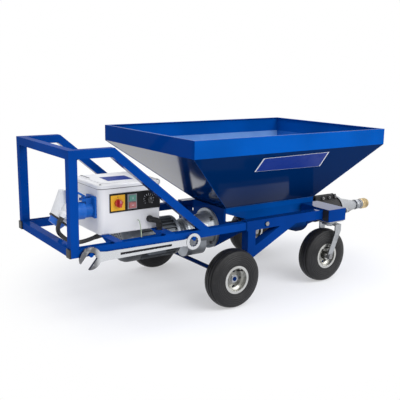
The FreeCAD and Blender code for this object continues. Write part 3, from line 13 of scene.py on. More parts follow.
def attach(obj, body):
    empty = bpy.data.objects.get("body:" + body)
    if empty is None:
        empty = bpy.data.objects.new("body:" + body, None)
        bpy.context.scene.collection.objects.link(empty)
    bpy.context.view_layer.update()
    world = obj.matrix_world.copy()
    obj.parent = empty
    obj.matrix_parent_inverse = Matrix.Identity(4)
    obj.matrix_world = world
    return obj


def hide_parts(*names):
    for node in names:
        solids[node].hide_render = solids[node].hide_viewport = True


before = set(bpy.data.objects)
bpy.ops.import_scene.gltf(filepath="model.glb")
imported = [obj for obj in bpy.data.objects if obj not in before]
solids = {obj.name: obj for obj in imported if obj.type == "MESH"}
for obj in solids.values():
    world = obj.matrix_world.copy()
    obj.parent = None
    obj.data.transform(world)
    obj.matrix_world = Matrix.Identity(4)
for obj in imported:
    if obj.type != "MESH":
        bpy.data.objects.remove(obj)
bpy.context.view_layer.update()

# %% [markdown]
# The machine was measured in millimetres from its rear axle. Blender works in metres from the middle of the
# machine's length, so one small helper turns the first into the second, and every piece below uses it. Masks
# often need one coordinate only: `x_at` and `z_at` give a plane across the machine and a height.

# %% Points in the machine's own measure
AXLE_TO_MIDDLE = 256.5


def at(x, y, z):
    return Vector(((x - AXLE_TO_MIDDLE) / 1000, y / 1000, z / 1000))


def x_at(x):
    return at(x, 0, 0).x


def z_at(z):
    return at(0, 0, z).z


# %% [markdown]
# The photographer stood behind the near rear corner, a little above the hopper. Yaw turns the lens from
# straight across the machine towards its outlet, pitch tips it down, and a trace of roll is kept too. The
# focal length was found in picture elements, so the width of the picture turns it into millimetres of film.

# %% Camera
YAW, PITCH, ROLL = math.radians(34.474), math.radians(-11.755), math.radians(0.738)
EYE = at(-1673.2, -2522.7, 1059.1)
FOCAL_PIXELS, PICTURE_PIXELS, FILM_WIDTH = 640.57, 400, 36
ahead = Vector((math.sin(YAW) * math.cos(PITCH), math.cos(YAW) * math.cos(PITCH), math.sin(PITCH)))
level = Vector((math.cos(YAW), -math.sin(YAW), 0))
overhead = level.cross(ahead)
right = level * math.cos(ROLL) + overhead * math.sin(ROLL)
up = overhead * math.cos(ROLL) - level * math.sin(ROLL)
lens = bpy.data.cameras.new("photo_camera")
lens.sensor_width = FILM_WIDTH
lens.lens = FOCAL_PIXELS / PICTURE_PIXELS * FILM_WIDTH
lens.clip_end = 60
camera = bpy.data.objects.new("photo_camera", lens)
bpy.context.scene.collection.objects.link(camera)
camera.matrix_world = Matrix.Translation(EYE) @ Matrix((right, up, -ahead)).transposed().to_4x4()
bpy.context.scene.camera = camera
print("lens", round(lens.lens, 2), "mm")

# %% [markdown]
# ## Sums on sockets
# A finish is a sum of noises, masks and colours. Written as Python expressions such as `1 - worn * 0.3`,
# they stay short; the class below turns each operator into the Math node that it stands for.

# %% Sums on sockets
TURN = 6.2832


class Value:
    """A number that changes over a surface, held as the socket it comes out of."""

    def __init__(self, finish, socket):
        self.finish = finish
        self.socket = socket

    def _sum(self, operation, *others):
        inputs = {i: o for i, o in enumerate(others)}
        return self.finish.node("ShaderNodeMath", {"operation": operation}, inputs)

    def __add__(self, other):
        return self._sum("ADD", self, other)

    def __radd__(self, other):
        return self._sum("ADD", other, self)

    def __sub__(self, other):
        return self._sum("SUBTRACT", self, other)

    def __rsub__(self, other):
        return self._sum("SUBTRACT", other, self)

    def __mul__(self, other):
        return self._sum("MULTIPLY", self, other)

    def __rmul__(self, other):
        return self._sum("MULTIPLY", other, self)

    def over(self, limit):
        return self._sum("GREATER_THAN", self, limit)

    def under(self, limit):
        return self._sum("LESS_THAN", self, limit)

    def root(self):
        return self._sum("SQRT", self)

    def waves(self, pitch):
        """Rises and falls between -1 and 1, once in every pitch metres."""
        return self._sum("SINE", self * (TURN / pitch))

    def between(self, low, high):
        """0 below low, 1 above high, and a smooth step from one to the other."""
        settings = {"interpolation_type": "SMOOTHSTEP"}
        return self.finish.node("ShaderNodeMapRange", settings, {0: self, 1: low, 2: high, 3: 0.0, 4: 1.0})


# %% [markdown]
# A `Finish` is one material. It starts as a Principled shader; `node` adds any other node, and the named
# helpers are the few noises and masks that painted, plated, cast and moulded surfaces share.

# %% A finish and its nodes
class Finish:
    def __init__(self, name, color, roughness=0.5, metallic=0.0, coat=0.0, specular=0.5):
        self.material = bpy.data.materials.new(name)
        self.material.use_nodes = True
        self.tree = self.material.node_tree
        self.shader = self.tree.nodes["Principled BSDF"]
        self.set("Base Color", (*color, 1))
        self.set("Roughness", roughness)
        self.set("Metallic", metallic)
        self.set("Coat Weight", coat)
        self.set("Coat Roughness", 0.08)
        self.set("Specular IOR Level", specular)
        self.place = self.node("ShaderNodeTexCoord", {}, {}, "Object")
        self.x, self.y, self.z = (Value(self, s) for s in self._split(self.place))

    def _split(self, vector):
        made = self.tree.nodes.new("ShaderNodeSeparateXYZ")
        self.tree.links.new(vector.socket, made.inputs[0])
        return made.outputs[:3]

    def node(self, kind, settings=None, inputs=None, output=0):
        made = self.tree.nodes.new(kind)
        for key, value in (settings or {}).items():
            setattr(made, key, value)
        for key, value in (inputs or {}).items():
            self._plug(made.inputs[key], value)
        return Value(self, made.outputs[output])

    def _plug(self, socket, value):
        if isinstance(value, Value):
            self.tree.links.new(value.socket, socket)
        else:
            socket.default_value = value

    def set(self, name, value):
        self._plug(self.shader.inputs[name], value)

    def noise(self, scale, detail=2.0):
        """Cloudy noise from 0 to 1; scale is in blobs per metre."""
        return self.node("ShaderNodeTexNoise", {}, {"Vector": self.place, "Scale": scale, "Detail": detail}, "Fac")

    def cells(self, scale):
        """Distance from the middle of the nearest cell, as in a zinc spangle."""
        return self.node("ShaderNodeTexVoronoi", {}, {"Vector": self.place, "Scale": scale}, "Distance")

    def facing(self, direction):
        """1 where the surface faces a direction, 0 where it is square to it, -1 where it faces away."""
        normal = self.node("ShaderNodeNewGeometry", {}, {}, "Normal")
        return self.node("ShaderNodeVectorMath", {"operation": "DOT_PRODUCT"}, {0: normal, 1: direction}, "Value")

    def mix(self, amount, first, second):
        """Two colours, or a colour and what mix returned before, blended by a value."""
        settings = {"data_type": "RGBA"}
        inputs = {0: amount}
        for key, color in ((6, first), (7, second)):
            inputs[key] = color if isinstance(color, Value) else (*color, 1)
        return self.node("ShaderNodeMix", settings, inputs, 2)

    def bump(self, height, depth, strength=1.0):
        """Dents and grain; depth is the height of the relief in metres."""
        normal = self.node("ShaderNodeBump", {}, {"Strength": strength, "Distance": depth, "Height": height})
        self.set("Normal", normal)

    def inside(self, low, high):
        """1 inside a box given by two corners, 0 outside."""
        mask = self.x.over(low.x) * self.x.under(high.x) * self.y.over(low.y)
        return mask * self.y.under(high.y) * self.z.over(low.z) * self.z.under(high.z)

    def off_axis(self, a, b):
        """Distance from an axis, from the two coordinates measured across it."""
        return (a * a + b * b).root()


finishes = {}


def finish(name, color, **kw):
    finishes[name] = Finish(name, color, **kw)
    return finishes[name]


# %% [markdown]
# ## Paint
# The frame and hopper are powder coated: a deep, slightly wavy gloss. A faint orange-peel bump breaks up the
# reflections, cloudy noise shifts the blue a little, and dust settles only on what faces up. What faces down
# is darkened with painted shade. Level tops and the sloping rear of the hopper shine the most.

# %% Blue powder coat
def powder_coat(name, color, dust=0.03, underside_shade=0.5, top_gloss=0.1):
    paint = finish(name, color, roughness=0.25, specular=0.0)
    cloud = paint.noise(3.0, 4.0)
    peel = paint.noise(140.0, 2.0)
    specks = paint.noise(60.0, 6.0)
    up_facing = paint.facing((0, 0, 1)).between(0.75, 1.0)
    settled = up_facing * specks.between(0.50, 0.78) * dust
    # painted shade: faces turned down are mixed towards a darker copy of the paint colour
    under = paint.facing((0, 0, -1)).between(0.25, 0.70)
    deep = tuple(c * 0.88 for c in color)
    bright = tuple(min(1.0, c * 1.08) for c in color)
    base = paint.mix(cloud.between(0.35, 0.65), deep, bright)
    base = paint.mix(under, base, tuple(c * underside_shade for c in color))
    base = paint.mix(settled, base, (0.16, 0.20, 0.28))
    paint.set("Base Color", base)
    rear_underside = (-0.62, 0, -0.78)
    sloping = paint.facing(rear_underside).between(0.80, 0.95)
    shine = 0.05 + sloping * 0.92 + up_facing.between(0.9, 1.0) * top_gloss
    paint.set("Coat Weight", shine)
    paint.set("Roughness", 0.20 + specks * 0.08 + settled * 0.5)
    paint.bump(peel + cloud * 5.0, 0.00025, 0.12)
    paint.base, paint.shine = base, shine
    return paint


powder_coat("frame blue", (0.0008, 0.044, 0.255))
hopper = powder_coat("hopper blue", (0.0006, 0.068, 0.330), underside_shade=0.26, top_gloss=0.3)

# %% [markdown]
# A painted sheen makes the inner slopes paler, the side ones most. The rear of the rim band gets painted shade,
# and a wiped patch low on the near side mirrors the floor. Each slope is found by the way it faces, and the patch
# fades in and out between the pairs of planes named below.

# %% Painted sheen, painted shade and the wiped patch of the hopper
NEAR_SLOPE, FAR_SLOPE = (0, -0.73, 0.68), (0, 0.73, 0.68)
REAR_SLOPE, FRONT_SLOPE = (-0.62, 0, 0.78), (0.62, 0, 0.78)
NEAR_UNDERSIDE = (0, -0.73, -0.68)
PATCH_REAR, PATCH_FRONT, PATCH_TOP = (15, 70), (455, 500), (528, 512)


def slope(direction):
    """1 on the walls of one slope, 0 on all others."""
    return hopper.facing(direction).between(0.93, 0.99)


inner_sides = slope(NEAR_SLOPE) + slope(FAR_SLOPE)
inner_ends = slope(REAR_SLOPE) + slope(FRONT_SLOPE)
# painted sheen: the inner slopes are mixed towards a pale blue, the side ones most, broken up by noise
painted_sheen = (inner_sides + inner_ends * 0.3) * (0.30 + hopper.noise(6.0, 5.0) * 0.55)
# painted shade: the rear end of the rim band is darker
rear_end = hopper.facing((-1, 0, 0)).between(0.97, 1.0) * hopper.x.between(x_at(100), x_at(0))
shaded = hopper.mix(rear_end, hopper.base, (0.0003, 0.038, 0.225))
hopper.set("Base Color", hopper.mix(painted_sheen, shaded, (0.17, 0.31, 0.58)))
patch = hopper.z.between(*map(z_at, PATCH_TOP)) * hopper.x.between(*map(x_at, PATCH_REAR))
patch = patch * (1 - hopper.x.between(*map(x_at, PATCH_FRONT))) * slope(NEAR_UNDERSIDE)
hopper.set("Coat Weight", hopper.shine + patch * 0.24)

powder_coat("chassis blue", (0.0008, 0.034, 0.200), dust=0.04, top_gloss=0.9)
powder_coat("axle navy", (0.0005, 0.016, 0.095))
print("paints:", list(finishes))

# %% [markdown]
# ## Metals
# Zinc plate is grey with a fine spangle and cast housings are matt and pitted. Both get painted shade where they
# face down. The wrench is satin chrome, with a black recess along its handle, a painted highlight on faces turned
# up and towards the user, and painted shade round its jaw.

# %% Metals
def plated(name, color, spangle=90.0, roughness=0.34):
    metal = finish(name, color, roughness=roughness, metallic=1.0)
    cell = metal.cells(spangle)
    smear = metal.noise(14.0, 5.0)
    fine = metal.noise(700.0, 2.0)
    grime = metal.noise(25.0, 8.0).between(0.52, 0.70)
    # painted shade: the further a face turns from up, front and near, the darker it is
    painted_light_facing = metal.facing((0.5, -0.3, 0.8)).between(-0.7, 0.9)
    shade = metal.mix(cell.between(0.0, 0.9), tuple(c * 0.86 for c in color), color)
    shade = metal.mix(grime * 0.55, shade, tuple(c * 0.40 for c in color))
    shade = metal.mix(0.55 - painted_light_facing * 0.55, shade, tuple(c * 0.15 for c in color))
    metal.set("Base Color", shade)
    metal.set("Roughness", roughness - 0.08 + smear * 0.22 + grime * 0.15)
    metal.bump(fine + cell * 0.5, 0.0002, 0.25)
    return metal


def cast(name, color, roughness=0.5, metallic=0.75):
    metal = finish(name, color, roughness=roughness, metallic=metallic)
    pits = metal.noise(260.0, 5.0)
    stain = metal.noise(18.0, 6.0).between(0.5, 0.72)
    # painted shade: faces turned down and towards the user are darkened
    under = metal.facing((0, -0.45, -0.9)).between(0.2, 0.9)
    shade = metal.mix(stain * 0.5, color, tuple(c * 0.55 for c in color))
    metal.set("Base Color", metal.mix(under * 0.85, shade, tuple(c * 0.20 for c in color)))
    metal.set("Roughness", roughness + pits * 0.15)
    metal.bump(pits, 0.0006, 0.45)
    return metal


plated("zinc plate", (0.50, 0.52, 0.55), roughness=0.26)
cast("dark casting", (0.020, 0.020, 0.022), roughness=0.5, metallic=0.2)
plated("bolt zinc", (0.40, 0.40, 0.41), spangle=300.0, roughness=0.28)
cast("silver casting", (0.45, 0.48, 0.51), roughness=0.36)
cast("bell casting", (0.23, 0.25, 0.28), roughness=0.37, metallic=0.6)
cast("silver motor", (0.135, 0.15, 0.17), roughness=0.38, metallic=0.5)

wrench = plated("satin chrome", (0.44, 0.44, 0.46), spangle=30.0, roughness=0.22)
RECESS_LOW, RECESS_HIGH = at(-533, -304.5, 314.1), at(-290, -292, 323.9)
recess = wrench.inside(RECESS_LOW, RECESS_HIGH)
jaw = 1 - wrench.x.between(x_at(-650), x_at(-618))
# painted shade round the jaw, broken up by noise
painted_jaw_shade = wrench.noise(35.0, 5.0).between(0.2, 0.5) * jaw
# painted highlight and painted shade: faces turned up and towards the user are lighter, the others darker
shine = wrench.facing((0.3, -0.5, 0.8)).between(-0.2, 0.7)
steel = wrench.mix(shine, (0.24, 0.245, 0.26), (0.72, 0.74, 0.77))
steel = wrench.mix(painted_jaw_shade * 0.85, steel, (0.07, 0.07, 0.08))
wrench.set("Base Color", wrench.mix(recess, steel, (0.035, 0.034, 0.040)))

# %% [markdown]
# The feed screw, rotor and shafts are turned or ground steel. Rings that follow the length of the shaft are
# a sine of the X coordinate with a little noise, fed to the bump only. The hose nut is brass, dulled in the
# grooves and bright where hands and spanners polish it.

# %% Turned steel and brass
def turned(name, color, roughness, pitch=0.0012):
    metal = finish(name, color, roughness=roughness, metallic=1.0)
    rings = (metal.x + metal.noise(40.0) * 0.002).waves(pitch)
    wear = metal.noise(30.0, 6.0)
    metal.set("Base Color", metal.mix(wear.between(0.4, 0.7), tuple(c * 0.7 for c in color), color))
    metal.set("Roughness", roughness + wear * 0.2)
    metal.bump(rings, 0.00008, 0.35)
    return metal


turned("shaft steel", (0.38, 0.38, 0.40), 0.28)
turned("screw steel", (0.36, 0.36, 0.37), 0.36, pitch=0.004)
brass = finish("brass", (0.60, 0.46, 0.24), roughness=0.32, metallic=1.0)
tarnish = brass.noise(60.0, 6.0).between(0.42, 0.68)
brass.set("Base Color", brass.mix(tarnish, (0.66, 0.52, 0.29), (0.36, 0.27, 0.15)))
brass.set("Roughness", 0.26 + tarnish * 0.25)
brass.bump(brass.noise(500.0), 0.0002, 0.3)
print("metals:", [n for n in finishes if "blue" not in n])

# %% [markdown]
# ## Tyres and rims
# A pneumatic tyre has raised rings on its sidewall, dust on its sides and a cleaner, blacker tread. The rings
# are a wave of the distance from the wheel's own axis, so every tyre, and the rim in it, knows its axis.

# %% Tyres and rims
TYRE_RADIUS = 0.135
RING_PITCH = 0.0085
REAR_TRACK, CASTER_TRACK, CASTER_AXLE, AXLE_HEIGHT = 347, 290, 613, 135
WHEELS = {
    "rear_tyre_left": (at(0, REAR_TRACK, AXLE_HEIGHT), 1),
    "rear_tyre_right": (at(0, -REAR_TRACK, AXLE_HEIGHT), -1),
    "caster_tyre_left": (at(CASTER_AXLE, CASTER_TRACK, AXLE_HEIGHT), 1),
    "caster_tyre_right": (at(CASTER_AXLE, -CASTER_TRACK, AXLE_HEIGHT), -1),
}


def tyre_finish(name, hub):
    rubber = finish(name + " rubber", (0.022, 0.021, 0.022), roughness=0.50, specular=0.3)
    radius = rubber.off_axis(rubber.x - hub.x, rubber.z - hub.z)
    side = radius.between(0.070, 0.078) * (1 - radius.between(0.112, 0.118))
    rings = radius.waves(RING_PITCH) * side
    fine = rubber.noise(900.0, 3.0)
    dusty = rubber.noise(45.0, 7.0).between(0.45, 0.75)
    tread = radius.between(TYRE_RADIUS - 0.007, TYRE_RADIUS - 0.001)
    dust = dusty * (0.12 - tread * 0.06)
    rubber.set("Base Color", rubber.mix(dust, (0.009, 0.009, 0.010), (0.060, 0.058, 0.060)))
    rubber.set("Roughness", 0.40 + dust * 0.8 + fine * 0.06)
    rubber.bump(rings + fine * 0.10, 0.0012, 0.75)
    return rubber


def rim_finish(name, hub):
    """Zinc that is bright on the lip and the hub, with painted shade in the dish between them."""
    rim = plated(name + " zinc", (0.60, 0.60, 0.58), roughness=0.22)
    radius = rim.off_axis(rim.x - hub.x, rim.z - hub.z)
    # painted shade in the dish between the hub and the lip
    painted_dish_shade = radius.between(0.016, 0.021) * (1 - radius.between(0.040, 0.052))
    shade = rim.mix(rim.noise(30.0, 5.0), (0.66, 0.66, 0.64), (0.40, 0.40, 0.38))
    rim.set("Base Color", rim.mix(painted_dish_shade * 0.8, shade, (0.13, 0.13, 0.12)))
    return rim


for node, (hub, _) in WHEELS.items():
    tyre_finish(node, hub)
    rim_finish(node.replace("tyre", "rim"), hub)

# %% [markdown]
# ## Plastics
# The control box is a pale moulded shell with a fine grain and a dark gasket line under its lid. Handles and
# keys are smooth and glossy, black covers are matt, and the conduit has a ridge every five millimetres.

# %% Plastics
def moulded(name, color, roughness=0.45, grain=600.0, depth=0.00025, coat=0.0, dirt=0.15, specular=0.5):
    plastic = finish(name, color, roughness=roughness, coat=coat, specular=specular)
    texture = plastic.noise(grain, 3.0)
    smudge = plastic.noise(22.0, 6.0).between(0.48, 0.74)
    plastic.set("Base Color", plastic.mix(smudge * dirt, color, tuple(c * 0.62 for c in color)))
    plastic.set("Roughness", roughness + smudge * 0.12)
    plastic.bump(texture, depth, 0.3)
    return plastic


BOX_WHITE = (0.74, 0.74, 0.75)
GASKET_LOW, GASKET_HIGH = 559.2, 562.6
shell = moulded("box white", BOX_WHITE, roughness=0.42, dirt=0.08)
seam = shell.z.over(z_at(GASKET_LOW)) * shell.z.under(z_at(GASKET_HIGH))
shell.set("Base Color", shell.mix(seam, BOX_WHITE, (0.05, 0.05, 0.055)))
moulded("black cover", (0.014, 0.014, 0.016), roughness=0.4, specular=0.3)
hose = moulded("ribbed hose", (0.016, 0.016, 0.018), roughness=0.45, specular=0.4)
ELBOW_TOP, RIDGE_PITCH = 399, 0.005
level_part = hose.z.over(z_at(ELBOW_TOP))
ridges = hose.x.waves(RIDGE_PITCH) * level_part + hose.z.waves(RIDGE_PITCH) * (1 - level_part)
hose.bump(ridges, 0.0015, 0.9)
moulded("knob black", (0.014, 0.014, 0.015), roughness=0.3, coat=0.3)
moulded("key red", (0.42, 0.010, 0.012), roughness=0.28, coat=0.4)
moulded("stop key red", (0.40, 0.12, 0.12), roughness=0.32, coat=0.3)
moulded("start key green", (0.085, 0.27, 0.21), roughness=0.32, coat=0.3)
moulded("socket blue", (0.006, 0.105, 0.44), roughness=0.38, specular=0.15)
moulded("stator rubber", (0.022, 0.022, 0.024), roughness=0.6, grain=300.0)
moulded("lead sheath", (0.016, 0.016, 0.017), roughness=0.5, grain=1500.0)
moulded("bonding wire", (0.34, 0.42, 0.30), roughness=0.5)
moulded("pale print", (0.62, 0.64, 0.68), roughness=0.4, dirt=0.05)
moulded("badge blue", (0.001, 0.024, 0.21), roughness=0.40, dirt=0.05, specular=0.1)
print("finishes so far:", len(finishes))

# %% [markdown]
# The angled connector is one solid of several colours: a blue sleeve and nut, a milky hood and a black
# rim. Masks worked out from its own planes and axes colour each part, so its edges stay crisp.

# %% Connector in several colours
connector = finish("connector", (0.70, 0.72, 0.74), roughness=0.35, specular=0.3)
MOUTH = at(-695, -66, 434)
DOWN = Vector((-0.674, 0, -0.744)).normalized()
SLEEVE_AXIS = at(-602, -104, 468)
SLEEVE_RADIUS, SLEEVE_END, SLEEVE_SIDE = 0.0376, x_at(-668), -0.07
RIM_LOW, RIM_HIGH, NUT_START = -0.0012, 0.0062, 0.0061
SLEEVE_RIB_PITCH = 0.006
past_mouth = (connector.x - MOUTH.x) * DOWN.x + (connector.z - MOUTH.z) * DOWN.z
off_sleeve = connector.off_axis(connector.y - SLEEVE_AXIS.y, connector.z - SLEEVE_AXIS.z)
on_sleeve = off_sleeve.under(SLEEVE_RADIUS) * connector.x.over(SLEEVE_END) * connector.y.under(SLEEVE_SIDE)
rim = past_mouth.over(RIM_LOW) * past_mouth.under(RIM_HIGH)
nut = past_mouth.over(NUT_START)
haze = connector.noise(35.0, 5.0)
hood_white = connector.mix(haze, (0.62, 0.63, 0.65), (0.78, 0.79, 0.80))
painted = connector.mix(on_sleeve, hood_white, (0.008, 0.12, 0.50))
painted = connector.mix(nut, painted, (0.008, 0.12, 0.52))
painted = connector.mix(rim, painted, (0.02, 0.02, 0.022))
ribs = connector.x.waves(SLEEVE_RIB_PITCH) * connector.x.between(x_at(-650), x_at(-645))
connector.set("Base Color", painted)
connector.set("Roughness", 0.30 + haze * 0.18)
connector.bump(ribs * on_sleeve + connector.noise(500.0) * 0.2, 0.0008, 0.5)

# %% [markdown]
# The fascia is one black plate with a raised square behind the red handle and a block that guides the keys.
# Box masks paint the square yellow and the block grey; the rest stays satin black.

# %% Fascia in three colours
SATIN_BLACK = (0.012, 0.012, 0.013)
SQUARE = at(-509.5, -176, 464.5), at(-442.5, -174.2, 531.5)
KEY_BLOCK = at(-431.5, -178.5, 466), at(-387.5, -173.2, 530)
fascia = finish("fascia", SATIN_BLACK, roughness=0.35, specular=0.15)
yellow = fascia.inside(*SQUARE)
scuffs = fascia.noise(70.0, 7.0).between(0.5, 0.7)
key_block = fascia.inside(*KEY_BLOCK)
panel = fascia.mix(key_block, SATIN_BLACK, (0.30, 0.30, 0.32))
fascia.set("Base Color", fascia.mix(yellow, panel, (0.76, 0.41, 0.03)))
fascia.set("Roughness", 0.30 + scuffs * 0.15)
fascia.bump(fascia.noise(800.0), 0.0002, 0.25)

# %% [markdown]
# Every solid is now given its finish by name. A solid that is missing from the table stops the lesson, so
# none can be left in the plain colour that it came with.

# %% Dress the solids
BY_FINISH = {
    "frame blue": "cage_side_left cage_side_right cage_cross_tubes pump_inlet box_brackets",
    "chassis blue": "front_frame front_platform drive_plate", "axle navy": "rear_axle",
    "hopper blue": "hopper trough",
    "zinc plate": "axle_collars caster_plate_left caster_plate_right caster_fork_left caster_fork_right "
                  "outlet_reducer hose_coupling",
    "dark casting": "stator_clamp",
    "bolt zinc": "chassis_bolts caster_bolt_left caster_bolt_right clamp_bolts tie_rods",
    "silver casting": "gearbox_case", "bell casting": "motor_end_bell", "silver motor": "motor_frame fan_cowl",
    "shaft steel": "motor_shaft seal_housing pump_rotor", "screw steel": "feed_screw", "brass": "hose_nut",
    "black cover": "end_plugs cooling_fan box_screws lead_gland", "ribbed hose": "motor_conduit",
    "stator rubber": "pump_stator",
    "box white": "enclosure_body enclosure_lid", "fascia": "control_fascia", "key red": "main_switch",
    "start key green": "start_button", "stop key red": "stop_button", "knob black": "speed_knob",
    "socket blue": "power_inlet inlet_cap", "connector": "power_connector", "lead sheath": "power_lead",
    "bonding wire": "earth_wire", "satin chrome": "wrench",
}
dress = {node: look for look, names in BY_FINISH.items() for node in names.split()}
dress.update({node: node + " rubber" for node in WHEELS})
dress.update({node.replace("tyre", "rim"): node.replace("tyre", "rim") + " zinc" for node in WHEELS})
for node, obj in solids.items():
    obj.data.materials.clear()
    obj.data.materials.append(finishes[dress[node]].material)
print("dressed", len(dress), "of", len(solids), "solids")

# %% [markdown]
# ## Lead and bonding wire
# Both are curves of order three whose control points are the corners of the real route, so they bend
# smoothly and as gently as a sheathed lead does. The lead runs from its gland to the connector's boss.

# %% Lead and bonding wire
def cable(name, points, diameter, look):
    curve = bpy.data.curves.new(name, "CURVE")
    curve.dimensions = "3D"
    curve.bevel_depth = diameter / 2
    curve.bevel_resolution = 5
    curve.resolution_u = 10
    curve.use_fill_caps = True
    spline = curve.splines.new("NURBS")
    spline.points.add(len(points) - 1)
    for point, place in zip(spline.points, points):
        point.co = (*place, 1)
    spline.order_u = 3
    spline.use_endpoint_u = True
    obj = bpy.data.objects.new(name, curve)
    bpy.context.scene.collection.objects.link(obj)
    curve.materials.append(finishes[look].material)
    return obj


LEAD_DIAMETER, WIRE_DIAMETER = 0.018, 0.004
LEAD_ROUTE = [at(-527, -110, 353), at(-553, -101, 343), at(-586, -90, 331), at(-622, -83, 326), at(-658, -80, 338),
              at(-688, -86, 361), at(-714, -100, 389), at(-720, -119, 424), at(-701.5, -120, 453.5)]
WIRE_ROUTE = [at(-380, -170, 413), at(-380, -186, 413), at(-388, -205, 398), at(-402, -235, 392),
              at(-412, -258, 380), at(-413, -261, 361.5)]
lead = cable("supply_lead", LEAD_ROUTE, LEAD_DIAMETER, "lead sheath")
wire = cable("bonding_wire", WIRE_ROUTE, WIRE_DIAMETER, "bonding wire")
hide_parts("power_lead")
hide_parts("earth_wire")
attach(lead, "chassis")
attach(wire, "chassis")

# %% [markdown]
# ## Small pieces
# The solids carry the big shapes. What follows is built in mesh code with three helpers: a round piece
# turned from a profile, a flat plate with softened edges, and a bead that runs along a seam. The first and
# the last are tubes made of rings of points, so one function lists the faces of both.

# %% Helpers for small pieces
def piece(name, verts, faces, look, body, smooth=False):
    mesh = bpy.data.meshes.new(name)
    mesh.from_pydata([tuple(v) for v in verts], [], faces)
    mesh.update()
    if smooth:
        mesh.polygons.foreach_set("use_smooth", [True] * len(mesh.polygons))
    mesh.materials.append(finishes[look].material)
    obj = bpy.data.objects.new(name, mesh)
    bpy.context.scene.collection.objects.link(obj)
    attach(obj, body)
    return obj


def frame_of(direction):
    """Two directions square to one another and to the given one."""
    along = Vector(direction).normalized()
    side = along.orthogonal().normalized()
    return along, side, along.cross(side)


def tube_faces(rings, sides):
    """Faces of a closed tube whose points come ring by ring."""
    faces = []
    for ring in range(rings - 1):
        for i in range(sides):
            j = (i + 1) % sides
            faces.append((ring * sides + i, ring * sides + j, (ring + 1) * sides + j, (ring + 1) * sides + i))
    faces.append(tuple(range(sides))[::-1])
    faces.append(tuple((rings - 1) * sides + i for i in range(sides)))
    return faces


def circle(place, u, v, radius, sides):
    """Points round a place, in the plane of two directions."""
    angles = [2 * math.pi * i / sides for i in range(sides)]
    return [place + (u * math.cos(a) + v * math.sin(a)) * radius for a in angles]


def turned_piece(name, base, direction, profile, look, body, sides=24):
    """Round piece about an axis; the profile lists (distance along it, radius), in millimetres."""
    along, u, v = frame_of(direction)
    verts = []
    for distance, radius in profile:
        verts += circle(base + along * (distance / 1000), u, v, radius / 1000, sides)
    obj = piece(name, verts, tube_faces(len(profile), sides), look, body)
    soften(obj, 0.0)
    return obj


def soften(obj, width):
    """Rounds edges by a bevel where a width is given, and shades the rest smooth by angle."""
    if width:
        bevel = obj.modifiers.new("soft edges", "BEVEL")
        bevel.width = width
        bevel.segments = 2
    obj.data.polygons.foreach_set("use_smooth", [True] * len(obj.data.polygons))
    obj.data.set_sharp_from_angle(angle=math.radians(35))


def plate(name, outline, normal, thickness, look, body, edge=0.0004):
    """Flat plate from an outline of points, raised along a normal by a thickness in metres."""
    lift = Vector(normal).normalized() * thickness
    count = len(outline)
    verts = list(outline) + [p + lift for p in outline]
    faces = [tuple(range(count))[::-1], tuple(range(count, 2 * count))]
    for i in range(count):
        j = (i + 1) % count
        faces.append((i, j, count + j, count + i))
    obj = piece(name, verts, faces, look, body)
    clean = bmesh.new()
    clean.from_mesh(obj.data)
    bmesh.ops.recalc_face_normals(clean, faces=clean.faces)
    clean.to_mesh(obj.data)
    clean.free()
    soften(obj, edge)
    return obj


# %% [markdown]
# A weld bead is a row of overlapping ripples. It is swept along its seam as rings whose radius swells and
# shrinks every few millimetres, and sits half inside the joint, as the real one does.

# %% Weld beads
BEAD_SIDES = 7
SWELL = 0.16


def bead(name, points, radius, look="frame blue", ripple=0.0035):
    rings = []
    run = 0.0
    for a, b in zip(points, points[1:]):
        length = (b - a).length
        steps = max(2, int(length / (ripple / 3)))
        for i in range(steps):
            rings.append((a.lerp(b, i / steps), (b - a), run + length * i / steps))
        run += length
    rings.append((points[-1], points[-1] - points[-2], run))
    verts = []
    for place, direction, distance in rings:
        _, u, v = frame_of(direction)
        swell = radius * (1 + SWELL * math.cos(2 * math.pi * distance / ripple))
        verts += circle(place, u, v, swell, BEAD_SIDES)
    return piece(name, verts, tube_faces(len(rings), BEAD_SIDES), look, "chassis", smooth=True)


RAIL_IN, RAIL_OUT, RAIL_SIZE = 256.0, 291.0, 35
LOW_RAIL_TOP, HIGH_RAIL_FOOT = 361.5, 711
POST, SLOPE_HEAD, SLOPE_FOOT = -704, -557.7, -140
WELD = 0.0022
for side, word in ((-1, "right"), (1, "left")):
    y_in, y_out = side * RAIL_IN, side * RAIL_OUT
    for joint, x, z in (("post_foot", POST, LOW_RAIL_TOP), ("post_head", POST, HIGH_RAIL_FOOT),
                        ("slope_head", SLOPE_HEAD, HIGH_RAIL_FOOT), ("slope_foot", SLOPE_FOOT, LOW_RAIL_TOP)):
        bead("weld_%s_%s" % (joint, word), [at(x, y_in, z), at(x, y_out, z)], WELD)
    for rail, z, far_z in (("low", LOW_RAIL_TOP, LOW_RAIL_TOP - RAIL_SIZE),
                           ("high", HIGH_RAIL_FOOT, HIGH_RAIL_FOOT + RAIL_SIZE)):
        bead("weld_cross_%s_%s" % (rail, word), [at(POST, y_in, z), at(POST, y_in, far_z)], WELD)

# %% [markdown]
# ## Hopper seams and badge
# The hopper is folded from sheet and welded along its four slanted corners and under the rim band. The
# badge on the near panel is a plain blue plate with a pale border, with nothing written on it.

# %% Hopper seams and badge
RIM = {"rear": -248, "front": 891, "half": 404, "band": 692}
FOOT = {"rear": 120, "front": 690, "half": 131.5, "top": 397.5}
SEAM_IN = 1.9
BAND_HALF = RIM["half"] - SEAM_IN


def seam_bead(name, start, end, radius, ripple=0.006):
    bead(name, [start, end], radius, "hopper blue", ripple)


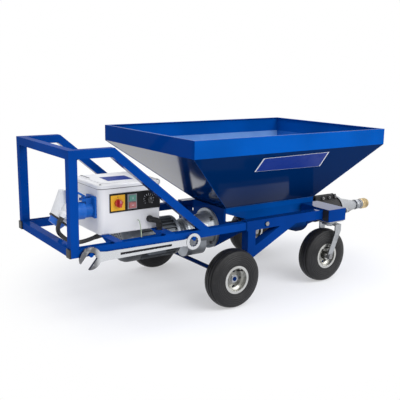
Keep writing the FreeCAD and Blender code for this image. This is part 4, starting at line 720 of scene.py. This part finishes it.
for side, word in ((-1, "right"), (1, "left")):
    upper = {end: at(RIM[end], side * BAND_HALF, RIM["band"]) for end in ("rear", "front")}
    lower = {end: at(FOOT[end], side * FOOT["half"], FOOT["top"]) for end in ("rear", "front")}
    for end in ("rear", "front"):
        seam_bead("seam_%s_%s" % (end, word), lower[end], upper[end], 0.0016)
    seam_bead("seam_band_" + word, upper["rear"], upper["front"], 0.0014)
    seam_bead("seam_foot_" + word, lower["rear"], lower["front"], 0.0018, 0.005)

rise, run_out = RIM["band"] - FOOT["top"], RIM["half"] - FOOT["half"]
out_of_panel = Vector((0, -rise, -run_out)).normalized()


def shrink(outline, amount):
    """The same outline with every corner pulled towards the middle by an amount in metres."""
    middle = sum(outline, Vector()) / len(outline)
    return [p + (middle - p).normalized() * amount for p in outline]


def on_panel(x, share):
    """A point of the near panel, share of the way up from the foot to the band."""
    return at(x, -(FOOT["half"] + run_out * share), FOOT["top"] + rise * share)


PLATE_EDGE = 0.0002
badge = [on_panel(134, 0.69), on_panel(545, 0.67), on_panel(530, 0.935), on_panel(133, 0.92)]
plate("badge_border", badge, out_of_panel, 0.0009, "pale print", "chassis", PLATE_EDGE)
plate("badge_face", shrink(badge, 0.0075), out_of_panel, 0.0014, "badge blue", "chassis", PLATE_EDGE)

# %% [markdown]
# ## Lid and lead
# The lid carries a plain blue plate and a thin black strip. The ribbed conduit has a nut on the box and a ferrule
# under its elbow. Where the lead leaves its gland and its connector, a tapered boot keeps it from kinking.

# %% Lid plate, dark strip, fittings and boots
LID_TOP = 580.5


def on_lid(*corners):
    return [at(x, y, LID_TOP) for x, y in corners]


label = on_lid((-482, -1), (-489, -107), (-366, -113), (-358, -11))
# a thin black strip on the lid's top
dark_strip = on_lid((-525, 2), (-519, 2), (-519, 92), (-525, 92))
UPWARDS = (0, 0, 1)
plate("lid_plate_border", label, UPWARDS, 0.0007, "pale print", "chassis", PLATE_EDGE)
plate("lid_plate_face", shrink(label, 0.005), UPWARDS, 0.0011, "badge blue", "chassis", PLATE_EDGE)
plate("lid_dark_strip", dark_strip, UPWARDS, 0.0006, "black cover", "chassis", 0.0)


def boot(name, end, beyond, wide):
    """Tapered sleeve from where the lead starts towards the next point of its route, with four grooves."""
    narrow, length, grooves, groove_pitch = 9.3, 26, 4, 5.5
    profile = [(0, wide - 1), (0.8, wide)]
    for groove in range(grooves):
        start = 3 + groove * groove_pitch
        taper = wide + (narrow + 1.2 - wide) * start / length
        profile += [(start, taper), (start + 0.6, taper - 0.9)]
        profile += [(start + 1.8, taper - 1.0), (start + 2.4, taper - 0.5)]
    profile += [(length, narrow + 0.9), (length + 1, narrow)]
    return turned_piece(name, end, beyond - end, profile, "lead sheath", "chassis", 28)


NUT_PROFILE = [(0, 15.0), (0.6, 15.8), (9, 15.8), (9.6, 15.0), (14, 14.2), (15, 12.4)]
FERRULE_PROFILE = [(0, 12.3), (1, 14.2), (10, 14.6), (11, 13.4), (16, 13.2), (17, 12.2)]
for name, base, direction, profile, sides in (
        ("conduit_nut", at(-324, -170.2, 412), (0, -1, 0), NUT_PROFILE, 8),
        ("conduit_ferrule", at(-293.2, -203, 394), (0.04, 0, -1), FERRULE_PROFILE, 24)):
    turned_piece(name, base, direction, profile, "black cover", "chassis", sides)
boot("gland_boot", LEAD_ROUTE[0], LEAD_ROUTE[1], 12.6)
boot("connector_boot", LEAD_ROUTE[-1], LEAD_ROUTE[-2], 11.6)

# %% [markdown]
# ## Wheels
# Each wheel has a valve stem that leans out through the dish of its rim and turns with it.

# %% Valve stems
STEM_PROFILE = [(0, 4.2), (3, 4.2), (4, 3.0), (12, 2.9), (13, 3.6), (20, 3.6), (21, 2.4)]
for node, (hub, outward) in WHEELS.items():
    base = hub + Vector((0.034, outward * 0.006, 0.030))
    body = node.replace("rear_tyre", "rear_wheel").replace("caster_tyre", "caster_wheel")
    turned_piece("valve_" + body, base, (0.25, outward, 0.2), STEM_PROFILE, "black cover", body, 16)

# %% [markdown]
# ## Controls
# The isolator has a pale line on its handle, each key carries a short pale bar, and the speed knob turns over
# a dial with plain numbers. All are printed on, so they are thin plates and text, not solids.

# %% Printed marks
def text(name, letters, place, size, look):
    """Letters that stand upright on the fascia and face the user."""
    curve = bpy.data.curves.new(name, "FONT")
    curve.body = letters
    curve.size = size
    curve.extrude = 0.00012
    curve.align_x = "CENTER"
    curve.align_y = "CENTER"
    obj = bpy.data.objects.new(name, curve)
    bpy.context.scene.collection.objects.link(obj)
    obj.matrix_world = Matrix.Translation(place) @ Matrix.Rotation(math.radians(90), 4, "X")
    curve.materials.append(finishes[look].material)
    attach(obj, "chassis")


TOWARDS_USER = (0, -1, 0)


def bar(name, x, z, width, height, y, body):
    """Upright printed line of a width and height on a face at y."""
    rear, front, low, high = x - width / 2, x + width / 2, z - height / 2, z + height / 2
    outline = [at(rear, y, low), at(front, y, low), at(front, y, high), at(rear, y, high)]
    plate(name, outline, TOWARDS_USER, 0.0004, "pale print", body, 0.0001)


KEY_X, KEY_Z, KEY_FACE = -409.5, 498.0, -183.1
SWITCH_X, SWITCH_Z, HANDLE_FACE, SQUARE_FACE = -476.0, 498.0, -201.4, -175.1
DIAL_X, DIAL_Z, KNOB_FACE, DIAL_FACE = -329.0, 499.0, -195.2, -173.9
NUMBER_RADIUS, TICK_START, TICK_END, HALF_TICK = 24, 17, 20, 0.03
FIRST_ANGLE, STEP_ANGLE, LAST_NUMBER = 225, 27, 10
bar("start_mark", KEY_X, KEY_Z + 15, 2.2, 9, KEY_FACE, "start_key")
bar("stop_mark", KEY_X, KEY_Z - 15, 9, 2.2, KEY_FACE, "stop_key")
bar("handle_line", SWITCH_X, SWITCH_Z + 8, 1.6, 12, HANDLE_FACE, "isolator_handle")
bar("knob_line", DIAL_X, DIAL_Z + 7, 1.4, 9, KNOB_FACE, "speed_dial")
text("isolator_off", "0", at(SWITCH_X, SQUARE_FACE, SWITCH_Z + 24), 0.010, "black cover")
text("isolator_on", "1", at(SWITCH_X + 24, SQUARE_FACE, SWITCH_Z), 0.010, "black cover")


def on_dial(radius, angle):
    return at(DIAL_X + radius * math.cos(angle), DIAL_FACE, DIAL_Z + radius * math.sin(angle))


for number in range(LAST_NUMBER + 1):
    angle = math.radians(FIRST_ANGLE - STEP_ANGLE * number)
    text("dial_%02d" % number, str(number), on_dial(NUMBER_RADIUS, angle), 0.0065, "pale print")
    tick = [on_dial(TICK_START, angle - HALF_TICK), on_dial(TICK_END, angle - HALF_TICK),
            on_dial(TICK_END, angle + HALF_TICK), on_dial(TICK_START, angle + HALF_TICK)]
    plate("dial_tick_%02d" % number, tick, TOWARDS_USER, 0.0002, "pale print", "chassis", 0.0)
print("printed marks done")

# %% [markdown]
# ## Studio
# A pale floor runs out to white a little beyond the machine. The camera, and whatever the gloss mirrors, sees
# the sky as pure white, while the light on the paint comes from three large soft lamps and a dimmer sky. Near
# the machine the floor is veiled only in part, so its shadow stays.

# %% Floor and backdrop
REACH = 14
SHADOW_END, WHITE_FROM = 0.72, 1.22
VEIL = 0.42
floor = bpy.data.meshes.new("studio_floor")
floor.from_pydata([(-REACH, -REACH, 0), (REACH, -REACH, 0), (REACH, REACH, 0), (-REACH, REACH, 0)], [],
                  [(0, 1, 2, 3)])
floor_obj = bpy.data.objects.new("studio_floor", floor)
bpy.context.scene.collection.objects.link(floor_obj)
ground = finish("studio floor", (0.89, 0.90, 0.95), roughness=0.7, specular=0.1)
distance = ground.off_axis(ground.x, ground.y)
path = ground.tree.nodes.new("ShaderNodeLightPath")
seen = Value(ground, path.outputs["Is Camera Ray"])
for ray in ("Is Glossy Ray", "Is Transmission Ray"):
    seen = seen + Value(ground, path.outputs[ray])
white = ground.node("ShaderNodeEmission", {}, {"Color": (1, 1, 1, 1), "Strength": 1.0})
fade = (VEIL + (1 - VEIL) * distance.between(SHADOW_END, WHITE_FROM)) * seen
blend = ground.node("ShaderNodeMixShader", {}, {0: fade, 1: Value(ground, ground.shader.outputs[0]), 2: white})
ground.tree.links.new(blend.socket, ground.tree.nodes["Material Output"].inputs["Surface"])
floor.materials.append(ground.material)

# %% Sky and lamps
world = bpy.data.worlds.new("studio")
world.use_nodes = True
bpy.context.scene.world = world
sky = world.node_tree
background = sky.nodes["Background"]
background.inputs["Color"].default_value = (0.97, 0.98, 1.0, 1)
background.inputs["Strength"].default_value = 0.66
clear = sky.nodes.new("ShaderNodeBackground")
clear.inputs["Color"].default_value = (1, 1, 1, 1)
rays = sky.nodes.new("ShaderNodeLightPath")
both = sky.nodes.new("ShaderNodeMixShader")
seen_rays = rays.outputs["Is Camera Ray"]
for ray in ("Is Glossy Ray", "Is Transmission Ray"):
    total = sky.nodes.new("ShaderNodeMath")
    sky.links.new(seen_rays, total.inputs[0])
    sky.links.new(rays.outputs[ray], total.inputs[1])
    seen_rays = total.outputs[0]
sky.links.new(seen_rays, both.inputs[0])
sky.links.new(background.outputs[0], both.inputs[1])
sky.links.new(clear.outputs[0], both.inputs[2])
sky.links.new(both.outputs[0], sky.nodes["World Output"].inputs["Surface"])


def softbox(name, place, target, width, height, watts):
    lamp = bpy.data.lights.new(name, "AREA")
    lamp.shape = "RECTANGLE"
    lamp.size = width
    lamp.size_y = height
    lamp.energy = watts
    obj = bpy.data.objects.new(name, lamp)
    bpy.context.scene.collection.objects.link(obj)
    obj.location = place
    obj.rotation_euler = (Vector(target) - Vector(place)).to_track_quat("-Z", "Y").to_euler()


softbox("key_softbox", (0.6, -2.6, 2.5), (0, 0, 0.3), 3.0, 2.0, 88)
softbox("top_softbox", (-0.3, 0.4, 3.4), (-0.2, 0, 0.4), 2.5, 2.0, 30)
softbox("side_softbox", (-3.4, -0.6, 1.6), (0, 0, 0.4), 2.0, 1.6, 12)
bpy.context.scene.view_settings.view_transform = "Standard"
print("studio ready")
